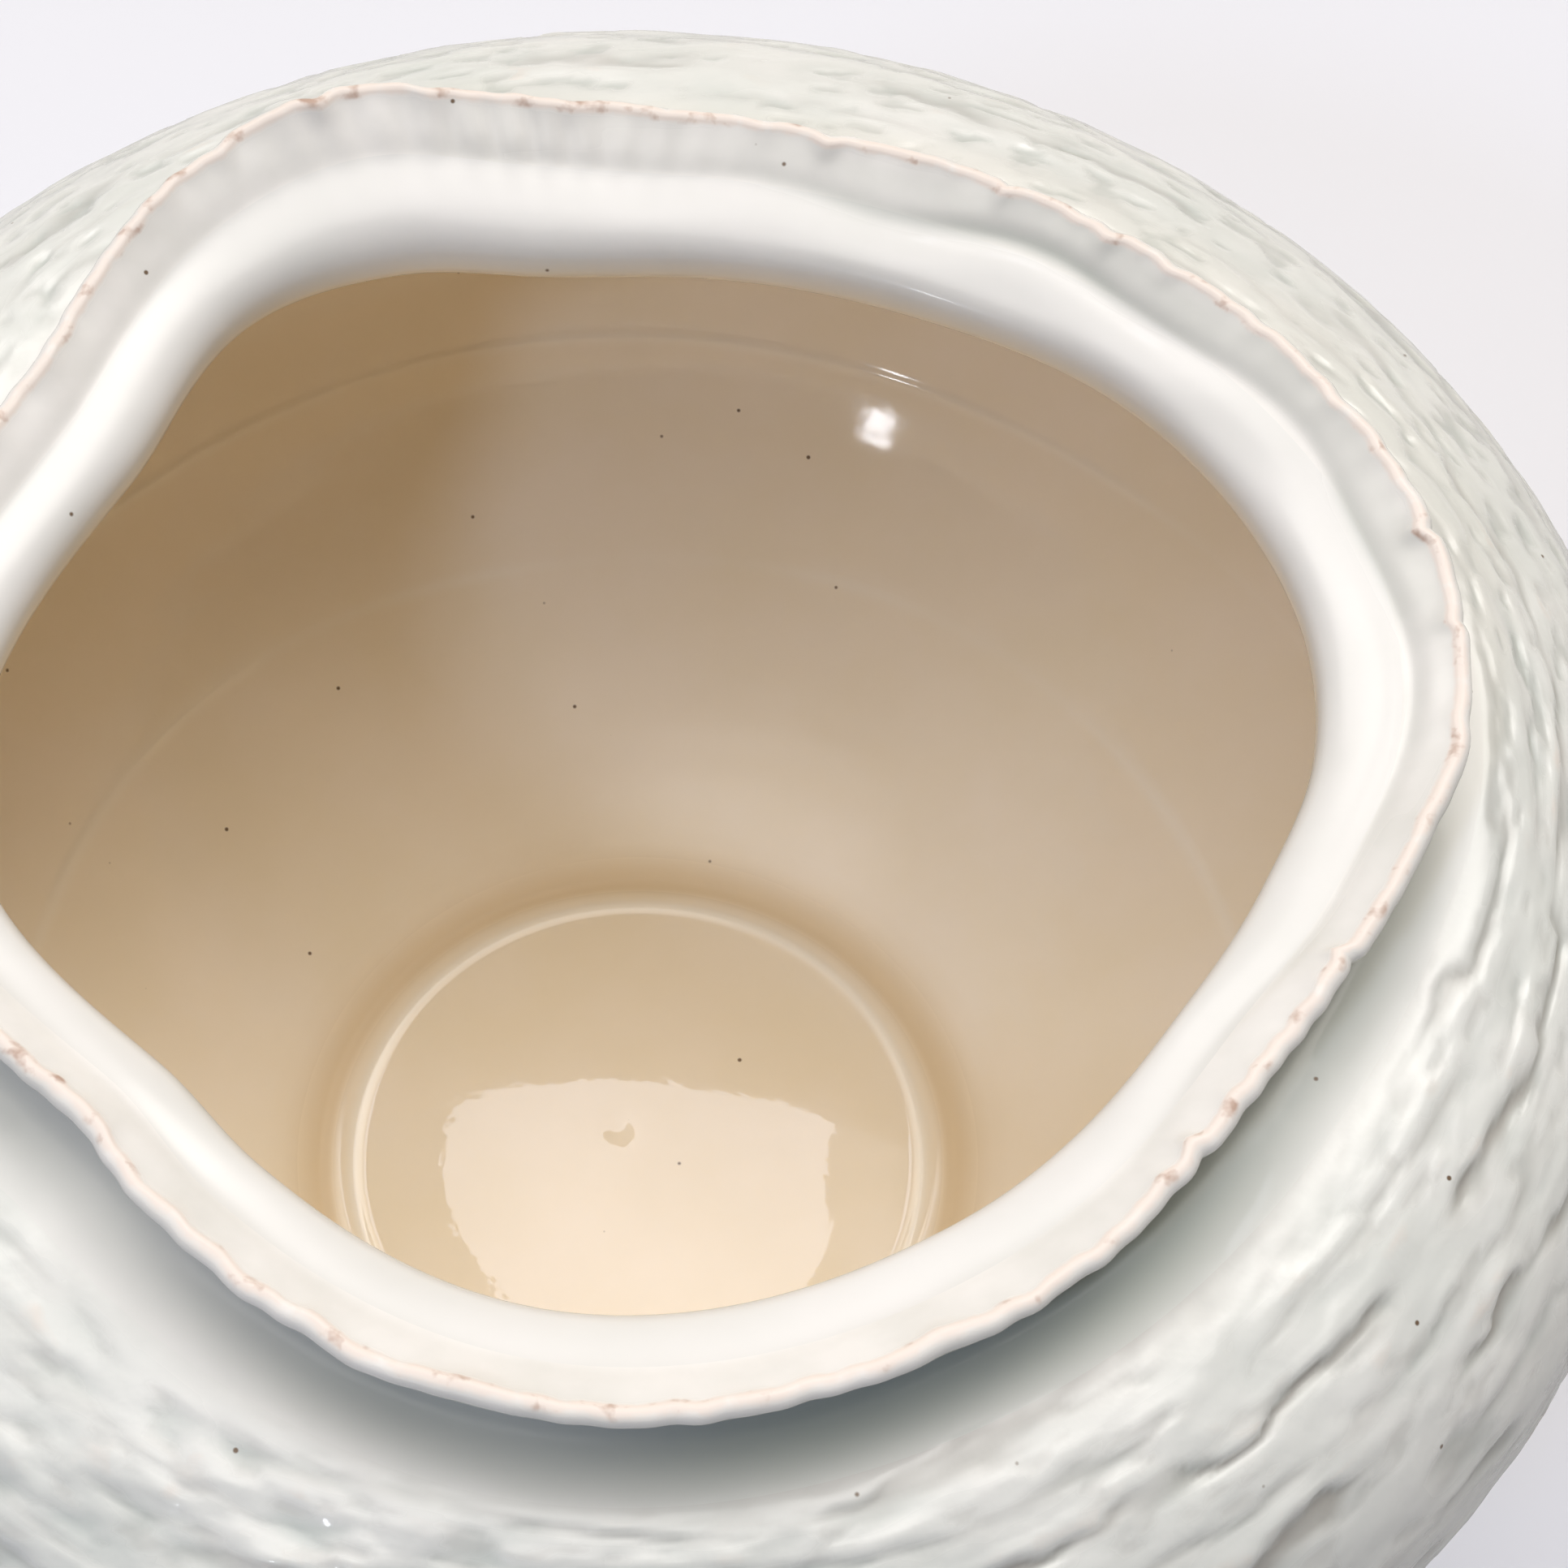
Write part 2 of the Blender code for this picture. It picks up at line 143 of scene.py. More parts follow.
def pedestalFace():  # from the top of the foot band, in to the waist and out to the slab
    f, handle = form, form["handle"]
    bandTop = (f["footRadius"] - f["footBevel"], f["footBand"])
    waist = (f["waistRadius"], f["waistHeight"])
    top = (f["pedestalTop"], f["pedestalHeight"])
    below, above = handle * (waist[1] - bandTop[1]), handle * (top[1] - waist[1])
    flare, crown = bandTop[0] - waist[0], f["crownFullness"] * (top[1] - waist[1])
    leaving = (bandTop[0] - f["footSweep"] * flare, bandTop[1] + f["footLean"] * flare)
    arriving = (top[0] - handle * (top[0] - waist[0]), top[1] - crown)
    foot = bezier(bandTop, leaving, (waist[0], waist[1] - below), waist)
    return np.concatenate([foot, bezier(waist, (waist[0], waist[1] + above), arriving, top)[1:]])


outer = outerFace()
throatTop = outer[1][-1][1] + form["neckRise"] - form["throatDrop"]
inner = innerFace()
pedestal = pedestalFace()
outerWall, innerWall = (np.concatenate([face[0]] + [part[1:] for part in face[1:]])
                        for face in (outer, inner))


# seams lie at the same share of each stretch on both faces, the torn strip's at its own width

def seamLengths(face):
    reach = [lengths(part)[-1] for part in face]
    share = [own / full for own, full in zip(reach, [lengths(part)[-1] for part in outer])]
    total = sum(reach)
    return {
        "slab": 0, "floor": form["slabUpturn"] * share[0], "lower": reach[0] - form["bellyBelow"] * share[0],
        "upper": reach[0] + form["bellyAbove"] * share[1],
        "neck": reach[0] + reach[1] - form["collarApron"] * share[1],
        "throat": reach[0] + reach[1] + reach[2], "rim": total - form["rimStrip"], "edge": total,
    }


outerSeam, innerSeam = seamLengths(outer), seamLengths(inner)

# the skin: stretches of rows from the pedestal's hollow, round the foot and up outside, over the torn
# edge and down to the middle of the floor; fine steps where the bark is, coarse ones where it is smooth

skin = {
    "columns": 720, "barkStep": 0.80 * mm, "pedestalStep": 1.1 * mm, "hollowStep": 3.5 * mm,
    "lipStep": 0.55 * mm, "tipStep": 0.35 * mm, "throatStep": 0.9 * mm, "linerStep": 3.0 * mm,
    "poolStep": 0.35 * mm, "floorStep": 1.5 * mm, "poolWidth": 4.1 * mm, "ringReach": 4.0 * mm,
    "centre": 0.4 * mm, "lipUnder": 0.9 * mm, "lipCrest": 1.3 * mm, "lipReach": 0.4 * mm,
    "ridges": (0.1465, 0.121), "ridgeWidth": 0.8 * mm,
}


def line(*points):
    return np.array(points, dtype=float)


def footCurve():
    f = form
    inside = f["footRadius"] - f["footWidth"]
    return line((inside, f["footBevel"]), (inside + f["footBevel"], 0), (f["footRadius"] - f["footBevel"], 0),
                (f["footRadius"], f["footBevel"]), (f["footRadius"], f["footBand"] - f["footBevel"]),
                (f["footRadius"] - f["footBevel"], f["footBand"]))


def coilCurve():  # a finger's hollow along the soft coil
    low = (np.interp(coilFoot, pedestal[:, 1], pedestal[:, 0]), coilFoot)
    high = (slabRadius, form["pedestalHeight"])
    bend = [a + form["coilHollow"] * (b - a) for a, b in zip((low[0], high[1]), (high[0], low[1]))]
    return bezier(low, bend, bend, high)


def whole(curve, step):
    return piece(curve, 0, lengths(curve)[-1], step)


def tipCurve():  # torn to a crest on the inside, rounded off outwards and under
    under = piece(outerWall, 0, outerSeam["edge"] - skin["lipUnder"], 1)[-1]
    crest = piece(innerWall, 0, innerSeam["edge"] - skin["lipCrest"], 1)[-1]
    reach = edgeMean + skin["lipReach"]
    return bezier(under, (reach, under[1] - 0.2 * mm), (reach, crest[1] - 0.3 * mm), crest)


def floorCurve():  # the wall's foot, the pool of glaze in the corner, the ring and the floor to its middle
    wallFoot = piece(innerWall, innerSeam["floor"], 0.35 * innerSeam["floor"], skin["poolStep"])
    poolEdge = (floorRadius - skin["poolWidth"], floorHeight)
    corner = (wallFoot[-1][0] - 0.8 * mm, floorHeight + 0.15 * mm)
    pool = bezier(wallFoot[-1], corner, (poolEdge[0] + 1.5 * mm, poolEdge[1]), poolEdge)
    inward = (poolEdge[0] - skin["ringReach"], floorHeight)
    ringed = whole(np.concatenate([wallFoot, pool[1:], line(inward)]), skin["poolStep"])
    return np.concatenate([ringed, whole(line(inward, (skin["centre"], floorHeight)), skin["floorStep"])[1:]])


hollow = pedestal[::-1] - (form["pedestalWall"], 0)
hollow = np.concatenate([hollow[hollow[:, 1] > form["footBand"]],
                         line((form["footRadius"] - form["footWidth"], form["footBevel"]))])
belowCoil = pedestal[pedestal[:, 1] <= coilFoot]
ridgeLengths = np.interp(skin["ridges"], innerWall[:, 1], lengths(innerWall))
nearRidges = (ridgeLengths[:, None] + skin["ridgeWidth"] * np.linspace(-2.5, 2.5, 11)).ravel()
stretches = [
    ("hollow", whole(hollow, skin["hollowStep"])),
    ("foot", footCurve()),
    ("pedestal", whole(np.concatenate([belowCoil, coilCurve()[:1]]), skin["pedestalStep"])),
    ("coil", whole(coilCurve(), skin["pedestalStep"])),
    ("slabEdge", piece(outerWall, 0, outerSeam["floor"], skin["barkStep"])),
    ("lowerOut", piece(outerWall, outerSeam["floor"], outerSeam["lower"], skin["barkStep"])),
    ("bellyOut", piece(outerWall, outerSeam["lower"], outerSeam["upper"], skin["barkStep"])),
    ("shoulderOut", piece(outerWall, outerSeam["upper"], outerSeam["neck"], skin["barkStep"])),
    ("collarOut", piece(outerWall, outerSeam["neck"], outerSeam["rim"], skin["throatStep"])),
    ("stripOut", piece(outerWall, outerSeam["rim"], outerSeam["edge"] - skin["lipUnder"], skin["lipStep"])),
    ("tip", whole(tipCurve(), skin["tipStep"])),
    ("stripIn", piece(innerWall, innerSeam["edge"] - skin["lipCrest"], innerSeam["rim"], skin["lipStep"])),
    ("collarIn", piece(innerWall, innerSeam["rim"], innerSeam["neck"], skin["throatStep"])),
    ("shoulderIn", piece(innerWall, innerSeam["neck"], innerSeam["upper"], skin["linerStep"])),
    ("bellyIn", piece(innerWall, innerSeam["upper"], innerSeam["lower"], skin["linerStep"], nearRidges)),
    ("lowerIn", piece(innerWall, innerSeam["lower"], innerSeam["floor"], skin["linerStep"], nearRidges)),
    ("floor", floorCurve()),
]

rows = []
span = {}  # first and last row of each stretch; neighbours share a row
for name, points in stretches:
    first = max(len(rows) - 1, 0)
    rows.extend(points if not rows else points[1:])
    span[name] = (first, len(rows) - 1)
rows = np.array(rows)
rowLength = lengths(rows)
columns = skin["columns"]
turns = np.arange(columns) * 360 / columns
angle = np.radians(turns)
print("skin laid out,", len(rows), "rows of", columns)


# the pinched mouth: one smooth closed curve through the rows of the table

def mouthAt(turn):
    table = np.array(mouth)
    count = len(table)
    first = np.searchsorted(table[:, 0], turn, side="right") - 1
    before, start, end, after = (table[(first + step) % count] + np.stack(
        [360.0 * ((first + step) // count)] + [0 * first] * 3, -1) for step in (-1, 0, 1, 2))
    gap = (end - start)[:, :1]
    share = (turn[:, None] - start[:, :1]) / gap
    leaving = gap * (end - before) / (end - before)[:, :1]
    arriving = gap * (after - start) / (after - start)[:, :1]
    bend = share * (1 - share) * ((1 - share) * leaving - share * arriving)
    return (start + share ** 2 * (3 - 2 * share) * (end - start) + bend)[:, 1:].T


def ease(value):
    value = np.clip(value, 0, 1)
    return value * value * (3 - 2 * value)


edgeAt, throatAt, liftAt = mouthAt(turns)


def pinch(radius, height):  # rows of the round form to where the fingers left them
    radius, height = radius[:, None], height[:, None]
    amount = ease((pinchRadius - radius) / (pinchRadius - shoulderRadius)) * (height > bellyHeight)
    flare = ease((height - throatTop) / form["lipRise"])
    push = (1 - flare) * (throatAt - throatMean) + flare * (edgeAt - edgeMean)
    return radius + amount * push, height + amount * flare * liftAt


# marks of the making that run round the pot, pressed into the skin before the bark

marks = {
    "seed": 11, "tearWaves": (9, 46), "fineTears": (30, 130), "tearReach": 3.0 * mm,
    "tearSize": 0.85 * mm, "tearLift": 0.35 * mm,
    "nicks": (62, 52, 16, 8, 295, 318, 244, 338, 78, 121), "nickDepth": 1.3 * mm, "nickWidth": 0.9,
    "stepDepth": 0.75 * mm, "stepWidth": 2.0 * mm, "stepWander": 1.6 * mm, "stepTurn": 30, "stepReach": 75,
    "stepLeast": 0.35, "rollDepth": 0.55 * mm, "rollWidth": 3.2 * mm, "rollBelow": 5.0 * mm,
    "pressSpacing": 6.0 * mm, "pressDepth": 0.20 * mm, "pressCentre": 108, "pressReach": 16,
    "pressWander": 3.0, "pressBelow": 4.5 * mm, "pressWidth": 4 * mm,
    "ringSpacing": 9.5 * mm, "ringDepth": 0.04 * mm, "ringWander": 2.6 * mm,
    # the ridges' pale share is a painted reflection line along each ridge
    "ridgeHeight": 0.16 * mm, "ridgeHighlight": 0.35, "ridgeWander": 0.8 * mm, "ridgeLeast": 0.3,
    "throatRoll": 0.65 * mm, "throatRollAbove": 4.2 * mm, "throatRollWidth": 2.8 * mm,
    "throatLine": 0.30 * mm, "throatLineAbove": 0.6 * mm, "throatLineWidth": 1.1 * mm,
    "poolRing": 0.30 * mm, "poolRingWidth": 1.0 * mm, "floorWave": 0.04 * mm, "floorWaveSize": 11 * mm,
    "floorWaveTurns": (20, -12), "floorWavePhases": (1.3, 0.4), "floorWaveRatio": 1.7,
    "floorWaveFade": 6 * mm, "dishSlope": 0.022, "dishMiddle": 7 * mm, "dishReach": 22 * mm,
    "dishFade": 18 * mm, "dishLevels": 0.7, "floorTilt": 0.012, "tiltFade": 4 * mm,
    "nubPlace": (-3.5 * mm, 4.5 * mm), "nubHeight": 0.09 * mm, "nubWidth": 2.6 * mm,
    "grooveDepth": 2.6 * mm, "grooveWidth": 4.4 * mm, "grooveSpread": 7.5 * mm, "grooveAbove": 8.5 * mm,
    # the last amount on the next line is painted shade in the groove under the lip
    "grooveTurn": 306, "grooveReach": 40, "grooveMore": 1.0, "grooveUneven": 0.2, "grooveShade": (0.5, 0.8),
    "beadHeight": 1.1 * mm, "beadWidth": 2.4 * mm, "beadBelow": 3.4 * mm, "beadUneven": 0.25,
    # how the torn strip greys, and below, the painted shadow along its step line
    "stripGreyTurn": 45, "stripGreyReach": 38, "stripGreyLeast": 0.05, "stripGrey": 0.40,
    "bandStart": 8 * mm, "bandIn": 3 * mm, "bandPast": 0.5 * mm, "bandOut": 2 * mm,
    "stepShade": 0.60, "stepShadeBelow": 0.4 * mm, "stepShadeWidth": 1.2 * mm,
    "cornerBelow": 4.0 * mm, "cornerUp": 5.5 * mm, "cornerIn": 1.7 * mm,
    "barkIn": 12 * mm, "barkOut": 16 * mm, "barkPast": 5 * mm, "linerFade": 5 * mm, "clayWidth": 1.1 * mm,
}
random = np.random.default_rng(marks["seed"])


def waves(low, high, count=24):  # a smooth wander round the pot, about 1 at most
    wander = np.zeros(len(turns))
    for number in np.linspace(low, high, count).astype(int):
        wander += random.normal() * np.sin(np.radians(number * turns) + random.uniform(0, 2 * math.pi))
    return wander / np.abs(wander).max()


def bump(value, width):
    return np.exp(-(value / width) ** 2)


def turnBump(centre, width):
    return bump((turns - centre + 180) % 360 - 180, width)


def least(lowest, share):  # from the lowest value where share is 0 to 1 where it is 1
    return lowest + (1 - lowest) * share


def rowsWithin(first, last):  # 1 on these rows and 0 on the others
    chosen = np.zeros((len(rows), 1))
    chosen[first:last] = 1
    return chosen


radius, height = pinch(rows[:, 0], rows[:, 1])
crestRow = span["stripIn"][0]
fromEdge = np.abs(rowLength - rowLength[crestRow])[:, None]
tearShare = bump(fromEdge, marks["tearReach"])
nick = sum(turnBump(angle, marks["nickWidth"] * random.uniform(0.6, 1.5)) * random.uniform(0.4, 1)
           for angle in marks["nicks"])
torn = marks["tearSize"] * (0.5 * waves(*marks["tearWaves"]) + 0.5 * waves(*marks["fineTears"]))
radius = radius + tearShare * (torn - marks["nickDepth"] * nick)
height = height + tearShare * marks["tearLift"] * waves(*marks["tearWaves"])

inMouth = rowsWithin(crestRow, span["collarIn"][1])
toStep = fromEdge + skin["lipCrest"] - form["rimStrip"] - marks["stepWander"] * waves(2, 17)
stepped = bump(toStep, marks["stepWidth"]) * least(0.6, ease(0.5 + waves(2, 9)))
stepped = stepped * least(marks["stepLeast"], turnBump(marks["stepTurn"], marks["stepReach"]))
rolled = bump(toStep - marks["rollBelow"], marks["rollWidth"])
pressed = inMouth * (marks["rollDepth"] * rolled - marks["stepDepth"] * stepped)
finger = np.sin(2 * math.pi * angle * edgeMean / marks["pressSpacing"] + marks["pressWander"] * waves(3, 20))
fingered = inMouth * bump(fromEdge - marks["pressBelow"], marks["pressWidth"])
fingered = fingered * turnBump(marks["pressCentre"], marks["pressReach"])
pressed = pressed + marks["pressDepth"] * finger * fingered
liner = rowsWithin(span["shoulderIn"][0], span["lowerIn"][1])
ringPhase = rowLength[:, None] + marks["ringWander"] * waves(1, 5)
rings = np.sin(2 * math.pi * ringPhase / marks["ringSpacing"])
pressed = pressed + marks["ringDepth"] * liner * rings
ridges = np.zeros((len(rows), 1))
for place in skin["ridges"]:
    share = least(marks["ridgeLeast"], ease(0.6 + waves(1, 12)))
    ridge = bump(rows[:, 1:] - place + marks["ridgeWander"] * waves(1, 6), skin["ridgeWidth"])
    ridges = ridges + liner * share * ridge
pressed = pressed + marks["ridgeHeight"] * ridges
# the funnel rolls over close to the throat, with a faint line under the roll
throatLength = rowLength[crestRow] + innerSeam["edge"] - skin["lipCrest"] - innerSeam["throat"]
toThroat = rowLength[:, None] - throatLength
throatRoll = bump(toThroat + marks["throatRollAbove"], marks["throatRollWidth"])
throatLine = bump(toThroat + marks["throatLineAbove"], marks["throatLineWidth"])
pressed = pressed + inMouth * (marks["throatRoll"] * throatRoll - marks["throatLine"] * throatLine)
onFloor = rowsWithin(span["floor"][0], len(rows))
poolEdge = floorRadius - skin["poolWidth"]
fromAxis = rows[:, :1]
poolRing = onFloor * bump(fromAxis - poolEdge, marks["poolRingWidth"])
wayAcross, wayAlong = (np.radians(turns - turn) for turn in marks["floorWaveTurns"])
waveAcross = fromAxis * np.cos(wayAcross) / marks["floorWaveSize"]
waveAlong = fromAxis * np.sin(wayAlong) / marks["floorWaveSize"]
phases = marks["floorWavePhases"]
floorWave = np.sin(waveAcross + phases[0]) * np.sin(marks["floorWaveRatio"] * waveAlong + phases[1])
calm = onFloor * ease((poolEdge - fromAxis) / marks["floorWaveFade"])
pressed = pressed + marks["poolRing"] * poolRing + marks["floorWave"] * floorWave * calm
# the floor sinks like a shallow cone to its middle, where a soft nub is left beside the centre
reach = np.linspace(0, poolEdge, 300)
slope = 1 - marks["dishLevels"] * ease((reach - marks["dishReach"]) / marks["dishFade"])
dish = marks["dishSlope"] * np.cumsum(ease(reach / marks["dishMiddle"]) * slope) * reach[1]
fromNub = np.hypot(fromAxis * np.cos(angle) - marks["nubPlace"][0],
                   fromAxis * np.sin(angle) - marks["nubPlace"][1])
nub = marks["nubHeight"] * bump(fromNub, marks["nubWidth"]) * (fromAxis < poolEdge)
tilt = marks["floorTilt"] * fromAxis * np.sin(angle) * ease((floorRadius - fromAxis) / marks["tiltFade"])
pressed = pressed + onFloor * (np.interp(fromAxis, reach, dish - dish[-1]) + tilt + nub)
# a finger drawn round the neck's foot, under the lip
fromGroove = rowLength[:, None] - rowLength[span["collarOut"][0]] - marks["grooveAbove"]
grooveMore = turnBump(marks["grooveTurn"], marks["grooveReach"])
grooveWidth = np.where(fromGroove < 0, marks["grooveSpread"], marks["grooveWidth"])
groove = bump(fromGroove, grooveWidth * (1 + marks["grooveUneven"] * grooveMore))
groove = groove * (1 + marks["grooveUneven"] * waves(2, 12))
pressed = pressed - marks["grooveDepth"] * (1 + marks["grooveMore"] * grooveMore) * groove
# the torn edge is fuller just below its crest, outside
fromBead = rowLength[:, None] - rowLength[crestRow] + marks["beadBelow"]
bead = bump(fromBead, marks["beadWidth"]) * (1 + marks["beadUneven"] * waves(3, 30))
pressed = pressed + marks["beadHeight"] * bead
# the torn strip is greyer, most at the far right, with painted shadow along the step line beside it
stripTurnShare = least(marks["stripGreyLeast"], turnBump(marks["stripGreyTurn"], marks["stripGreyReach"]))
stripBand = (ease((toStep + marks["bandStart"]) / marks["bandIn"])
             * ease((marks["bandPast"] - toStep) / marks["bandOut"]))
stepLine = bump(toStep + marks["stepShadeBelow"], marks["stepShadeWidth"]) * ease(0.6 + waves(3, 20))
stripGreyAndShade = inMouth * stripTurnShare * (marks["stripGrey"] * stripBand + marks["stepShade"] * stepLine)
# painted shade in the groove under the lip, darkest at the near right
stripGreyAndShade = stripGreyAndShade + (marks["grooveShade"][0] + marks["grooveShade"][1] * grooveMore) * groove

# how much bark, how far inside, how torn, the painted highlight on the floor's ring and the painted shade in
# its corner: 0 to 1 on each row
barkStart, barkEnd = rowLength[span["pedestal"][0]], rowLength[span["shoulderOut"][1]] + marks["barkPast"]
bark = ease((rowLength - barkStart) / marks["barkIn"]) * ease((barkEnd - rowLength) / marks["barkOut"])
inside = ease((rowLength - throatLength) / marks["linerFade"] + 0.5)
tornShare = bump(fromEdge[:, 0], marks["clayWidth"])
# painted highlight on the floor's ring and painted reflection lines on the inner ridges
ringHighlightField = (poolRing + marks["ridgeHighlight"] * ridges)[:, :, None]
# painted shade in the corner where the wall meets the floor
fromCorner = rowLength - rowLength[span["floor"][0]] - marks["cornerBelow"]
cornerShade = bump(fromCorner, np.where(fromCorner < 0, marks["cornerUp"], marks["cornerIn"]))
print("making marks pressed, torn edge", len(marks["nicks"]), "nicks")


# one small function for every node

def addNode(tree, kind, inputs=None, **settings):
    node = tree.nodes.new(kind)
    for name, value in settings.items():
        setattr(node, name, value)
    for key, source in (inputs or {}).items():
        socket = node.inputs[key] if isinstance(key, int) else next(
            s for s in node.inputs if s.enabled and s.name == key)
        if isinstance(source, bpy.types.Node):
            source = next(s for s in source.outputs if s.enabled)
        if isinstance(source, bpy.types.NodeSocket):
            tree.links.new(source, socket)
        else:
            socket.default_value = source
    return node


def maths(tree, operation, *values):
    return addNode(tree, "ShaderNodeMath", dict(enumerate(values)), operation=operation)


def bell(tree, value, rate):  # e to the power of rate times the square of value
    squared = maths(tree, "POWER", value, 2.0)
    return maths(tree, "POWER", 2.718, maths(tree, "MULTIPLY", squared, rate))


def vectorMath(tree, operation, first, second):
    key = "Scale" if operation == "SCALE" else 1
    return addNode(tree, "ShaderNodeVectorMath", {0: first, key: second}, operation=operation)


def noise(tree, place, scale, detail, roughness=0.5, seed=None):
    inputs = {"Vector": place, "Scale": scale, "Detail": detail, "Roughness": roughness}
    if seed is None:
        return addNode(tree, "ShaderNodeTexNoise", inputs).outputs[0]
    return addNode(tree, "ShaderNodeTexNoise", inputs | {"W": seed}, noise_dimensions="4D").outputs[0]


def ranged(tree, value, low, high, toLow=0.0, toHigh=1.0, kind="LINEAR"):
    return addNode(tree, "ShaderNodeMapRange", {
        "Value": value, "From Min": low, "From Max": high, "To Min": toLow, "To Max": toHigh},
        interpolation_type=kind)


def blend(tree, share, first, second):  # two colours, each given as hex or by a node
    first, second = (linear(c) if isinstance(c, str) else c for c in (first, second))
    return addNode(tree, "ShaderNodeMix", {"Factor": share, "A": first, "B": second},
                   data_type="RGBA").outputs[2]


# the bark: furrows that run round the pot in broken, wavy pieces, each steep on the side nearer the rim,
# with soft lumps between them

barkRelief = {
    "Furrow Spacing": 7.2 * mm, "Furrow Length": 30 * mm, "Furrow Depth": 0.68 * mm,
    "Waviness": 0.95, "Faint Share": 0.40, "Lump Size": 7.0 * mm, "Lump Height": 0.42 * mm,
    "Left Lumps": 1.3, "Left Furrows": -0.6,
    "Dash Length": 5.0 * mm, "Dash Width": 2.0 * mm, "Dash Depth": 0.42 * mm, "Seed": 4.0,
}
# how furrows wander, break and fall off to each side, how lumps and dashes are spread, and over which
# distances the pot's sides differ
cut = {
    "rowStep": 0.62, "wander": 2.0, "wanderRoughness": 0.55, "kink": 0.9, "kinkScale": 3.1,
    "pieceStep": 3.7, "pieceScale": 1.25, "pieceRange": (0.38, 0.58), "footSide": 1.6, "rimSide": 0.6,
    "crestAway": 2.3, "crestFall": -0.45, "crestShare": 0.40, "lumpStretch": 0.55, "lumpScale": 1.3,
    "lumpRoughness": 0.42, "lumpGain": 2.6, "leftRange": (-40 * mm, -130 * mm), "dashScale": 0.85,
    # dashShade: how much the dashes are darkened in colour, as painted shade
    "dashRoughness": 0.4, "dashRange": (0.54, 0.66), "dashShade": 0.25, "farRange": (-60 * mm, 40 * mm),
    "nearDashes": 0.35, "farFurrows": 0.5,
}


